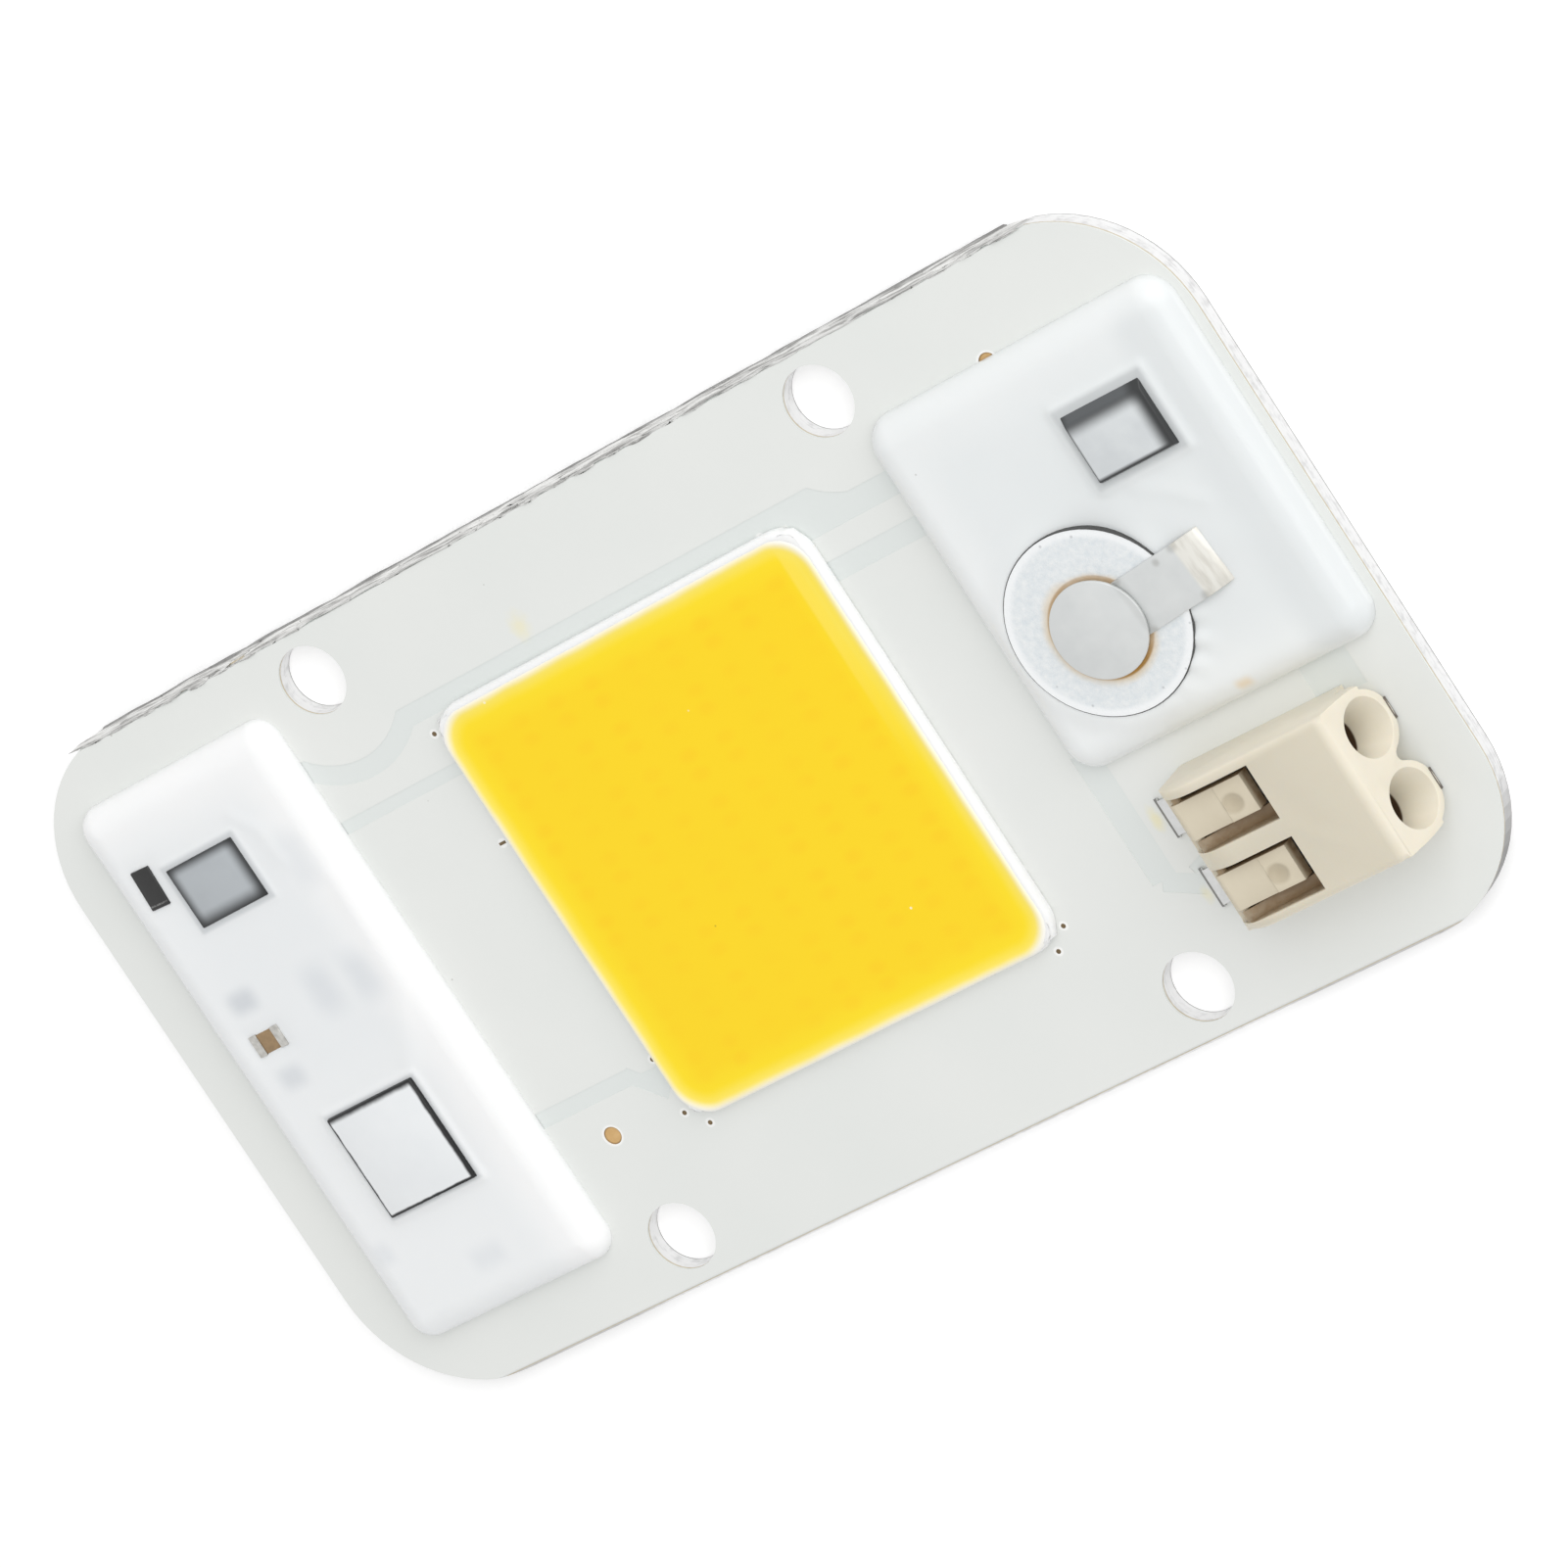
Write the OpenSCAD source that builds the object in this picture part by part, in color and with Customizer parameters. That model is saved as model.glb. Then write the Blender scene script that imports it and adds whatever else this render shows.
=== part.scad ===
// Mains-fed LED light engine: an aluminium-core board with a square chip-on-board emitter,
// a potted driver area at each end and a two-pole push-in wire terminal.
// Millimetres. The origin is the centre of the board's bottom face, +X points to the terminal
// end and +Z is up.

/* [Board] */
// Length of the board
board_l = 75; // [74:0.5:90]
// Width of the board over the broken edges
board_w = 40; // [39:0.5:55]
// Radius of the routed corners
corner_r = 7.6; // [4:0.1:9]
// Thickness of the aluminium core
core_t = 1; // [0.8:0.1:2]
// Thickness of the insulating layer
dielectric_t = 0.1; // [0.06:0.01:0.2]
// Thickness of the copper foil
copper_t = 0.07; // [0.05:0.01:0.14]
// Thickness of the white mask over the copper
mask_t = 0.05; // [0.03:0.01:0.1]
// Depth by which the mask dips over the etched gaps
mask_dip = 0.03; // [0.01:0.01:0.05]
// Width that each edge score takes off the face
score_w = 0.3; // [0.1:0.05:0.5]
// Depth of each edge score
score_d = 0.4; // [0.25:0.05:0.45]

/* [Mounting holes] */
// Distance between hole centres, along X
hole_pitch = 34.2; // [33:0.1:35]
// Distance from the hole centres to the board's long edges
hole_edge = 2.9; // [2.8:0.1:3.5]
// Diameter of the holes
hole_d = 3.8; // [3:0.1:4.5]

/* [Copper] */
// Distance from the board's edge to the copper
copper_margin = 0.8; // [0.5:0.1:1.5]
// Clear radius around each hole in the copper
copper_hole_r = 2.6; // [2.4:0.1:3]
// Width of the wide etched gaps
gap_w = 1.1; // [0.6:0.05:1.2]
// Radius of the gaps that run round the holes
hole_gap_r = 5.25; // [4.8:0.05:5.5]
// Radius of the bare test dots
test_dot_r = 0.5; // [0.3:0.05:0.8]

/* [Emitter] */
// Outside width of the dam, both ways
emitter_l = 25; // [24:0.5:27]
// Emitter centre ahead of the board centre, along X
emitter_x = 0.2; // [-0.5:0.1:0.5]
// Emitter centre ahead of the board centre, along Y
emitter_y = 0.4; // [-1:0.1:1]
// Width of the dam bead
dam_w = 1; // [0.8:0.05:1.1]
// Height of the dam bead
dam_h = 0.75; // [0.65:0.05:1]
// Outside radius of the dam's corners
dam_r = 1.2; // [1.15:0.05:2]
// Height of the phosphor
phosphor_h = 0.66; // [0.4:0.02:0.7]
// Columns of dies
die_columns = 9; // [6:1:9]
// Pairs of die rows
die_pairs = 8; // [5:1:8]
// Clear distance from the dam to the outer die columns
die_side = 1.28; // [1:0.02:2]
// Clear distance from the dam to the outer die rows
die_end = 1.1; // [1:0.02:2]
// Distance between the two rows of a pair
row_pitch = 1.05; // [0.8:0.05:1.2]
// Die length, along X
die_l = 0.76; // [0.4:0.02:1]
// Die width, along Y
die_w = 0.5; // [0.3:0.02:0.6]
// Die height
die_h = 0.15; // [0.1:0.01:0.25]

/* [Potting] */
// Height of the silicone
potting_h = 1.4; // [1.3:0.05:1.5]
// Radius of the silicone's corners, seen from above
potting_r = 1.2; // [1.2:0.1:3]
// Rounding of the silicone's top edge
potting_edge_r = 1; // [0.3:0.1:1.1]
// Left area, along X
left_l = 13.75; // [13.4:0.05:15]
// Left area, along Y
left_w = 33.05; // [31:0.05:34]
// Left area, from the board's left edge
left_margin = 3.175; // [2:0.025:4]
// Left area's centre, along Y
left_y = 0.35; // [-0.5:0.05:1]
// Right area, along X
right_l = 18.55; // [17.8:0.05:19]
// Right area, along Y
right_w = 20.2; // [19.4:0.1:20.8]
// Right area, from the board's right edge
right_margin = 0.5; // [0.4:0.1:1.2]
// Right area's centre, along Y
right_y = 4.96; // [4.8:0.02:5.4]
// Thickness of the silicone skin left on the package tops
skin_t = 0.05; // [0.03:0.01:0.1]
// Bare border of a package top round its skin
skin_border = 0.16; // [0.1:0.02:0.4]

/* [Driver chips] */
// Driver chip, along X
driver_l = 4.9; // [4.5:0.1:5.1]
// Driver chip, along Y
driver_w = 3.75; // [3.3:0.05:4]
// Driver chip, top above the board
driver_h = 1.55; // [1.52:0.01:1.75]
// Regulator, along X
regulator_l = 6.15; // [5.6:0.05:6.4]
// Regulator, along Y
regulator_w = 6.35; // [6:0.05:6.6]
// Regulator, top above the board
regulator_h = 1.8; // [1.6:0.05:2.3]
// Rectifier, along X
rectifier_l = 5.2; // [4.6:0.1:5.4]
// Rectifier, along Y
rectifier_w = 4.2; // [3.8:0.1:4.4]
// Rectifier, top above the board
rectifier_h = 1.9; // [1.7:0.05:2.4]
// Rectifier chamfer, width seen from above
rectifier_chamfer = 0.8; // [0.3:0.05:1]
// Diode, along Y
diode_l = 2.5; // [2.2:0.1:2.8]
// Diode, along X
diode_w = 1.45; // [1.2:0.05:1.6]
// Diode, top above the board
diode_h = 1.45; // [1.43:0.01:1.6]
// Ceramic capacitor, along X
capacitor_l = 2; // [1.8:0.05:2.2]
// Ceramic capacitor, along Y
capacitor_w = 1.25; // [1.1:0.05:1.4]
// Ceramic capacitor, top above the board
capacitor_h = 1.42; // [1.41:0.01:1.6]
// Length of the capacitor's metal ends
capacitor_end = 0.5; // [0.3:0.05:0.6]

/* [Varistor] */
// Diameter of the ceramic disc
disc_d = 9.8; // [9:0.1:10]
// Thickness of the ceramic disc
disc_t = 1.6; // [1.45:0.05:2]
// Thickness of each silver face
electrode_t = 0.05; // [0.03:0.01:0.1]
// Bare rim of the ceramic round each silver face
electrode_rim = 0.06; // [0.05:0.01:0.6]
// Radius of the strap's round head
strap_head_r = 2.55; // [2.2:0.05:3]
// Width of the strap's arm
strap_w = 3.1; // [2.4:0.1:3.4]
// Thickness of the strap
strap_t = 0.2; // [0.15:0.01:0.3]
// Angle of the arm to the board's length
strap_angle = 5; // [0:1:8]

/* [Terminal] */
// Length of the housing at its foot
terminal_l = 12.1; // [12:0.1:13]
// Width of the housing
terminal_w = 8.1; // [7.9:0.1:9]
// Height of the housing
terminal_h = 4.4; // [4.3:0.1:5]
// Distance between the poles
pole_pitch = 4.05; // [3.9:0.05:4.2]
// Housing foot, from the board's right edge
terminal_margin = 2.75; // [2:0.05:3]
// Housing centre, from the board's lower long edge
terminal_edge = 9.12; // [8:0.05:9.2]
// Set-back of the front face at its top
front_lean = 1.36; // [0.8:0.02:1.6]
// Radius of the rounded rear end
rear_r = 3; // [2:0.1:3.2]
// Radius of the housing's upright rear corners
terminal_corner_r = 0.5; // [0.2:0.05:0.6]
// Radius of the housing's upright front corners
front_corner_r = 0.9; // [0.3:0.05:1]
// Height of the wire holes above the board
wire_z = 1.95; // [1.9:0.05:2]
// Radius of the wire holes
wire_r = 1; // [0.8:0.05:1]
// Radius of the funnels where they meet the front face
funnel_r = 1.53; // [1.3:0.01:1.55]
// Depth of the funnels
funnel_depth = 1.15; // [1:0.05:1.9]
// Outside radius of the collars round the funnels
collar_r = 1.85; // [1.7:0.01:1.9]
// Width of the slot that each lever works in
slot_w = 3.05; // [2.8:0.05:3.1]
// Length of the slots from the rear
slot_l = 6.15; // [5.9:0.05:6.2]

/* [Levers] */
// Width of each lever
lever_w = 2.2; // [2:0.05:2.4]
// Thickness of each lever
lever_t = 0.9; // [0.7:0.05:1]
// Distance from the housing's top down to the levers
lever_drop = 0.6; // [0.55:0.05:0.7]
// Rear end of the levers, from the housing's rear
lever_rear = 0.8; // [0.7:0.05:1]
// Front end of the levers, from the housing's rear
lever_front = 5.18; // [4.8:0.02:5.3]
// Radius of the trunnions
trunnion_r = 0.25; // [0.2:0.01:0.28]
// Running clearance round the trunnions
trunnion_gap = 0.04; // [0.02:0.01:0.06]
// Radius of the press dimple
dimple_r = 0.54; // [0.3:0.02:0.6]
// Depth of the press dimple
dimple_d = 0.15; // [0.05:0.01:0.2]

/* [Contacts] */
// Thickness of the contact strip
strip_t = 0.25; // [0.2:0.01:0.28]
// Width of the rear solder tab
rear_tab_w = 2; // [1.6:0.1:2.2]
// Rear solder tab, out of the housing's foot
rear_tab_out = 1.65; // [1:0.05:2]
// Width of the front solder tab
front_tab_w = 1.2; // [1:0.1:1.4]
// Front solder tab, back from the housing's front
front_tab_back = 0.15; // [0:0.05:0.4]
// Thickness of the clamp spring's leaf, measured upright
leaf_t = 0.17; // [0.12:0.01:0.2]
// Width of the clamp spring's leaf
leaf_w = 1.6; // [1.2:0.1:1.7]
// Rise of the leaf's free end above the strip
leaf_rise = 1.95; // [1.6:0.05:2]

/* [Hidden] */
$fn = 64;
// Reach of a cutter past the face that it cuts
over = 0.2;
// Clearance of the silicone round the round disc
pot_gap = 0.02;
// Number of chip resistors
resistors = 5;

copper_z = core_t + dielectric_t;
copper_top = copper_z + copper_t;
board_top = copper_top + mask_t;
hole_at = [hole_pitch / 2, board_w / 2 - hole_edge];

left_c = [-board_l / 2 + left_margin + left_l / 2, left_y];
right_c = [board_l / 2 - right_margin - right_l / 2, right_y];
emitter_c = [emitter_x, emitter_y];
// Offset of the die grid from the dam's centre
die_shift = [-0.4, -0.3];
die_c = emitter_c + die_shift;
emitter_in = emitter_l / 2 - dam_w;
die_pitch = 2 * (emitter_in - die_side - die_l / 2) / (die_columns - 1);
pair_pitch = (2 * (emitter_in - die_end) - row_pitch - die_w) / (die_pairs - 1);
terminal_c = [board_l / 2 - terminal_margin - terminal_l, -board_w / 2 + terminal_edge];

// Places of the pieces, from the centre of the area that holds them
driver_at = [-0.63, 10.2];
regulator_at = [-0.15, -6.45];
diode_at = [-4.5, 11.55];
diode_turn = -3;
capacitor_at = [-3.65, 1.65];
large_resistors_at = [[0.35, 2.8], [3.15, 2.5], [3.85, 9.3]];
small_resistors_at = [[-3.85, 4.1], [-4, -0.6]];
rectifier_at = [3.54, 4.31];
disc_at = [-3.16, -3.46];
test_dots = [[-17.2, -10.8], [26.28, 14.83]];

// Etched gaps: reach under the silicone, place of the channel and of the feeds from the emitter's
// centre or dam, widths of the narrower gaps, and the gap from the silicone round the terminal's
// upper land
gap_in = 2;
channel_up = 0.26;
feed_up = 9.6;
feed_w = 0.7;
return_up = 3.64;
return_w = 0.9;
return_flat = 3;
return_drop = 1.6;
return_step = 0.55;
gap_miter = 0.2;
land_back = 3.82;
land_w = 1.54;
land_in = 1;
land_bend = 0.7;
land_slope = [-2, -1.75];
land_link = [-2.2, -0.85];
land_link_w = 0.5;
land_far = 10.25;
land_far_w = 2.8;
land_far_in = 0.45;
land_neck = 9.55;
land_neck_w = 1.4;

// Share of each die that its solder joint takes, both ways, and the solder's size at other pieces
die_joint = 0.8;
diode_joint = 0.3;
disc_joint_in = 0.4;

// Chip resistors in two common sizes: length, width, height
large_resistor = [1.6, 3.2, 0.55];
small_resistor = [2, 1.25, 0.5];
resistor_cap = 0.4;
resistor_cap_t = 0.03;

// Moulded packages: gap under the body, slope of the sides and size of the leads
standoff = 0.1;
package_draft = 0.12;
rectifier_draft = 0.3;
rectifier_chamfer_h = 0.45;
lead_t = 0.2;
lead_in = 0.3;
lead_shoulder = 0.2;
driver_lead_pairs = 4;
driver_lead_w = 0.42;
driver_lead_pitch = 1.27;
driver_span = 5.9;
rectifier_lead_pairs = 2;
rectifier_lead_w = 0.65;
rectifier_lead_pitch = 2.54;
rectifier_span = 6.6;
tab_t = 0.5;
tab_w = 5.2;
tab_in = 4;
tab_out = 1;
capacitor_wall = 0.04;
regulator_lead_w = 0.76;
regulator_lead_pitch = 4.57;
regulator_lead_out = 2.2;
diode_lead_w = 0.9;
diode_lead_out = 0.4;
skin_r = 0.3;

// Varistor strap: flat run from the head's centre, run and fall of its slope, run of its drop to
// the board and length of its foot
disc_top = electrode_t * 2 + disc_t;
strap_flat = 5.95;
strap_slope = 1.4;
strap_fall = 0.35;
strap_drop = 0.35;
strap_foot = 1;
strap_end = strap_flat + strap_slope + strap_drop;
strap_head_off = [0.04, -0.25];

// Terminal: heights above the board and distances from the housing's rear
lever_top = terminal_h - lever_drop;
pivot_x = lever_rear + lever_t / 2;
pivot_z = lever_top - lever_t / 2;
lever_under = lever_top - lever_t;
lever_clear = 0.3;
slot_floor = lever_under - lever_clear;
trunnion_in = 0.3;
dimple_back = 1.06;
pad_back = 1.65;
lever_step = 0.06;
cavity_w = 2.8;
cavity_rear = 0.8;
front_wall_rear = 8.6;
cage_l = 2;
cage_clear = 0.2;
cage_t = 0.25;
cage_gap = 0.05;
cage_side_gap = 0.1;
cage_front = front_wall_rear - cage_clear;
cage_rear = cage_front - cage_l;
cage_top = wire_z + wire_r + cage_clear;
cage_side = cavity_w / 2 - cage_side_gap;
strip_gap = 0.03;
collar_l = 1.7;
collar_x = terminal_l - collar_l;
collar_web_z = 1.2;
front_x = terminal_l - front_lean * wire_z / terminal_h;
throat_x = front_x - funnel_depth;
leaf_foot = 1;
leaf_run = 3.6;
leaf_side = 0.1;
leaf_root = cage_front - cage_clear;
leaf_bend = leaf_root - leaf_foot;
leaf_tip = leaf_bend - leaf_run;
nose_x = lever_front - dimple_back;
pad_x = lever_front - pad_back;
nose_l = 0.6;
nose_w = 1.2;
nose_gap = 0.03;

pole_y = [pole_pitch / 2, -pole_pitch / 2];

// Shared outlines and placements

module rounded_rect(l, w, r) {
    square([l - 2 * r, w], center = true);
    square([l, w - 2 * r], center = true);
    for (sx = [-1, 1], sy = [-1, 1])
        translate([sx * (l / 2 - r), sy * (w / 2 - r)])
            circle(r = r);
}

module box_on(size) {
    translate([-size.x / 2, -size.y / 2, 0])
        cube(size);
}

// Draws a side profile, given along X and Z, through a width along Y
module along_y(width) {
    rotate([90, 0, 0])
        linear_extrude(width, center = true)
            children();
}

// Draws a cross-section, given along Y and Z, through a length along X
module along_x(length) {
    rotate([90, 0, 90])
        linear_extrude(length, center = true)
            children();
}

module in_left(at, turn = 0) {
    translate([left_c.x + at.x, left_c.y + at.y, board_top])
        rotate(turn)
            children();
}

module in_right(at, turn = 0) {
    translate([right_c.x + at.x, right_c.y + at.y, board_top])
        rotate(turn)
            children();
}

module in_terminal(y = 0) {
    translate([terminal_c.x, terminal_c.y + y, board_top])
        children();
}

// Board layers

module holes_flat(r) {
    for (sx = [-1, 1], sy = [-1, 1])
        translate([sx * hole_at.x, sy * hole_at.y])
            circle(r = r);
}

// V-shaped scores along both long edges, from the top face and from the bottom face
module edge_scores() {
    reach = board_w / 2 + over;
    for (side = [-1, 1])
        scale([1, side, 1])
            along_x(board_l + 2 * over) {
                polygon([
                    [board_w / 2 - score_w, board_top],
                    [board_w / 2, board_top - score_d],
                    [reach, board_top - score_d],
                    [reach, board_top + over],
                    [board_w / 2 - score_w, board_top + over]
                ]);
                polygon([
                    [board_w / 2 - score_w, 0],
                    [board_w / 2, score_d],
                    [reach, score_d],
                    [reach, -over],
                    [board_w / 2 - score_w, -over]
                ]);
            }
}

module board_layer(z, t) {
    difference() {
        translate([0, 0, z])
            linear_extrude(t)
                difference() {
                    rounded_rect(board_l, board_w, corner_r);
                    holes_flat(hole_d / 2);
                }
        edge_scores();
    }
}

module gap_strip(from, to, width = gap_w) {
    run = to - from;
    translate(from)
        rotate(atan2(run.y, run.x))
            translate([0, -width / 2])
                square([norm(run), width]);
}

// Etched gaps: a channel past the emitter that goes round two holes, feeds on both sides of the
// emitter and the gap round the terminal's upper land
module etched_gaps() {
    channel_y = emitter_c.y + emitter_l / 2 + channel_up;
    arc_drop = hole_at.y - channel_y;
    arc_dx = sqrt(max(0, pow(hole_gap_r, 2) - pow(arc_drop, 2)));
    arc_low = hole_at.y - hole_gap_r - gap_w / 2;
    side_w = max(gap_w, channel_y - gap_w / 2 - arc_low);
    left_in = left_c.x + left_l / 2 - gap_in;
    right_in = right_c.x - right_l / 2 + gap_in;
    dam_left = emitter_c.x - emitter_in;
    dam_right = emitter_c.x + emitter_in;
    feed_top = emitter_c.y + feed_up;
    left_feed_y = feed_top - feed_w / 2;
    right_feed_y = feed_top - gap_w / 2;
    return_y = emitter_c.y - emitter_l / 2 + return_up;
    return_x = dam_left - return_flat;
    return_low = [return_x + return_drop, return_y - return_drop];
    land_x = terminal_c.x - land_back;
    land_top = right_c.y - right_w / 2 + land_in;
    land_far_x = terminal_c.x + land_far;
    land_far_low = terminal_c.y + terminal_w / 2 - land_far_in;
    gap_strip([-hole_at.x + arc_dx, channel_y], [hole_at.x - arc_dx, channel_y]);
    gap_strip([-hole_at.x - arc_dx, channel_y], [left_in, channel_y]);
    gap_strip([dam_right, arc_low + side_w / 2], [right_in, arc_low + side_w / 2], side_w);
    gap_strip([left_in, channel_y + gap_w / 2], [left_in, return_y - return_w / 2]);
    gap_strip([right_in, arc_low + side_w], [right_in, land_top - gap_w / 2]);
    gap_strip([land_x, land_top], [land_far_x, land_top]);
    for (sx = [-1, 1])
        translate([sx * hole_at.x, hole_at.y])
            intersection() {
                difference() {
                    circle(r = hole_gap_r + gap_w / 2);
                    circle(r = hole_gap_r - gap_w / 2);
                }
                translate([-2 * hole_gap_r, -2 * hole_gap_r])
                    square([4 * hole_gap_r, 2 * hole_gap_r - arc_drop + gap_w / 2]);
            }
    gap_strip([left_in, left_feed_y], [dam_left, left_feed_y], feed_w);
    gap_strip([dam_left, left_feed_y], [dam_right, left_feed_y], feed_w / 2);
    gap_strip([dam_right, right_feed_y], [right_in, right_feed_y]);
    gap_strip([left_in, return_y], [return_x, return_y], return_w);
    gap_strip([return_x - gap_miter, return_y + gap_miter], return_low, return_w);
    gap_strip(
        [return_x + return_w / 2, return_y - return_step],
        [dam_left, return_y - return_step],
        return_w
    );
    gap_strip([land_x, land_top], [land_x, terminal_c.y - land_bend], land_w);
    gap_strip([land_x - gap_miter, terminal_c.y - land_bend], terminal_c + land_slope);
    gap_strip(terminal_c + land_link, terminal_c + [land_link_w, 0], land_link_w);
    gap_strip(terminal_c, terminal_c + [land_neck, 0], land_link_w);
    gap_strip([land_far_x, land_top], [land_far_x, land_far_low], land_far_w);
    gap_strip(
        terminal_c + [land_neck, -land_link_w / 2],
        [terminal_c.x + land_neck, land_far_low + gap_miter],
        land_neck_w
    );
}

module test_dots_flat() {
    for (at = test_dots)
        translate(at)
            circle(r = test_dot_r);
}

// Lands that the pieces are soldered to
module lands_flat() {
    translate(left_c) {
        translate(driver_at)
            gull_feet(driver_lead_pairs, driver_lead_pitch, driver_lead_w, driver_w, driver_span);
        translate(regulator_at)
            regulator_feet();
        translate(diode_at)
            rotate(diode_turn)
                for (sy = [-1, 1])
                    translate([0, sy * diode_l / 2])
                        square([diode_lead_w, 2 * diode_joint], center = true);
        translate(capacitor_at)
            end_feet(capacitor_l, capacitor_w, capacitor_end);
        for (at = small_resistors_at)
            translate(at)
                end_feet(small_resistor.x, small_resistor.y, resistor_cap);
        for (at = large_resistors_at)
            translate(at)
                rotate(90)
                    end_feet(large_resistor.y, large_resistor.x, resistor_cap);
    }
    translate(right_c) {
        translate(rectifier_at)
            gull_feet(rectifier_lead_pairs, rectifier_lead_pitch, rectifier_lead_w, rectifier_w,
                rectifier_span);
        translate(disc_at)
            circle(r = disc_d / 2 - electrode_rim - disc_joint_in);
        translate(disc_at + strap_head_off)
            rotate(strap_angle)
                translate([strap_end, -strap_w / 2])
                    square([strap_foot, strap_w]);
    }
    translate(terminal_c)
        for (y = pole_y) {
            translate([-rear_tab_out, y - rear_tab_w / 2])
                square([rear_tab_out, rear_tab_w]);
            translate([collar_x, y - front_tab_w / 2])
                square([terminal_l - front_tab_back - collar_x, front_tab_w]);
        }
    translate(die_c)
        die_grid()
            square([die_l * die_joint, die_w * die_joint], center = true);
}

module copper_solid() {
    translate([0, 0, copper_z])
        linear_extrude(copper_t)
            difference() {
                rounded_rect(
                    board_l - 2 * copper_margin,
                    board_w - 2 * copper_margin,
                    corner_r - copper_margin
                );
                holes_flat(copper_hole_r);
                etched_gaps();
            }
}

module aluminium_core() {
    color("silver")
        board_layer(0, core_t);
}

module dielectric_layer() {
    color("burlywood")
        board_layer(core_t, dielectric_t);
}

module copper_foil() {
    color("peru")
        copper_solid();
}

module solder_mask() {
    color("whitesmoke")
        difference() {
            board_layer(copper_z, copper_t + mask_t);
            copper_solid();
            translate([0, 0, copper_top])
                linear_extrude(mask_t + over) {
                    lands_flat();
                    test_dots_flat();
                }
            translate([0, 0, board_top - mask_dip])
                linear_extrude(mask_dip + over)
                    etched_gaps();
        }
}

module solder_pads() {
    color("lightgray")
        translate([0, 0, copper_top])
            linear_extrude(mask_t)
                lands_flat();
}

// Emitter

module die_grid() {
    for (column = [0 : die_columns - 1], pair = [0 : die_pairs - 1], side = [-1, 1])
        translate([
            (column - (die_columns - 1) / 2) * die_pitch,
            (pair - (die_pairs - 1) / 2) * pair_pitch + side * row_pitch / 2
        ])
            children();
}

module dies_solid() {
    translate([die_c.x, die_c.y, board_top])
        linear_extrude(die_h)
            die_grid()
                square([die_l, die_w], center = true);
}

module dam_section() {
    intersection() {
        union() {
            translate([0, dam_h - dam_w / 2])
                circle(d = dam_w);
            translate([-dam_w / 2, 0])
                square([dam_w, max(0.01, dam_h - dam_w / 2)]);
        }
        translate([-dam_w, 0])
            square([2 * dam_w, dam_h]);
    }
}

module dam_solid() {
    middle = emitter_l / 2 - dam_w / 2;
    straight = emitter_l - 2 * dam_r;
    translate([emitter_c.x, emitter_c.y, board_top]) {
        for (s = [-1, 1]) {
            translate([0, s * middle, 0])
                along_x(straight)
                    dam_section();
            translate([s * middle, 0, 0])
                along_y(straight)
                    dam_section();
        }
        for (quarter = [0 : 3])
            rotate(90 * quarter)
                translate([straight / 2, straight / 2, 0])
                    rotate_extrude(angle = 90)
                        translate([dam_r - dam_w / 2, 0])
                            dam_section();
    }
}

module led_dies() {
    color("darkorange")
        dies_solid();
}

module emitter_dam() {
    color("white")
        dam_solid();
}

module phosphor_fill() {
    width = emitter_l - dam_w;
    color("gold")
        difference() {
            translate([emitter_c.x, emitter_c.y, board_top])
                linear_extrude(phosphor_h)
                    rounded_rect(width, width, dam_r - dam_w / 2);
            dam_solid();
            dies_solid();
        }
}

// Moulded packages and chips

// Body with sides that slope away from its parting line, and a chamfer along one long top edge
module package_body(l, w, h, draft = package_draft, chamfer = [0, 0]) {
    parting = (h + standoff) / 2;
    edge = chamfer.x > 0 ? chamfer : [draft, h - parting];
    intersection() {
        along_y(2 * w)
            polygon([
                [-l / 2 + draft, standoff], [-l / 2, parting], [-l / 2 + draft, h],
                [l / 2 - draft, h], [l / 2, parting], [l / 2 - draft, standoff]
            ]);
        along_x(2 * l)
            polygon([
                [-w / 2 + draft, standoff], [-w / 2, parting], [-w / 2 + draft, h],
                [w / 2 - edge.x, h], [w / 2, h - edge.y], [w / 2, parting],
                [w / 2 - draft, standoff]
            ]);
    }
}

module gull_positions(count, pitch) {
    for (side = [0, 180], i = [0 : count - 1])
        rotate(side)
            translate([(i - (count - 1) / 2) * pitch, 0])
                children();
}

module gull_feet(count, pitch, width, body_w, span) {
    inner = body_w / 2 + lead_shoulder;
    gull_positions(count, pitch)
        translate([-width / 2, inner])
            square([width, span / 2 - inner]);
}

// Leads that leave the body at its parting line, drop and turn out flat on the board
module gull_leads(count, pitch, width, body_w, span, exit_z) {
    inner = body_w / 2 - lead_in;
    riser = body_w / 2 + lead_shoulder;
    gull_positions(count, pitch)
        along_x(width)
            polygon([
                [inner, exit_z - lead_t / 2], [inner, exit_z + lead_t / 2],
                [riser + lead_t, exit_z + lead_t / 2], [riser + lead_t, lead_t],
                [span / 2, lead_t], [span / 2, 0], [riser, 0], [riser, exit_z - lead_t / 2]
            ]);
}

module driver_leads_solid() {
    in_left(driver_at)
        gull_leads(driver_lead_pairs, driver_lead_pitch, driver_lead_w, driver_w, driver_span,
            (driver_h + standoff) / 2);
}

module driver_solid() {
    difference() {
        in_left(driver_at)
            package_body(driver_l, driver_w, driver_h);
        driver_leads_solid();
    }
}

module driver_body() {
    color("dimgray")
        driver_solid();
}

module driver_leads() {
    color("silver")
        driver_leads_solid();
}

module regulator_feet() {
    translate([regulator_l / 2 - tab_out, -tab_w / 2])
        square([2 * tab_out, tab_w]);
    for (sy = [-1, 1])
        translate([-regulator_l / 2 - regulator_lead_out, sy * regulator_lead_pitch / 2
            - regulator_lead_w / 2])
            square([regulator_lead_out - lead_shoulder - lead_t, regulator_lead_w]);
}

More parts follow.
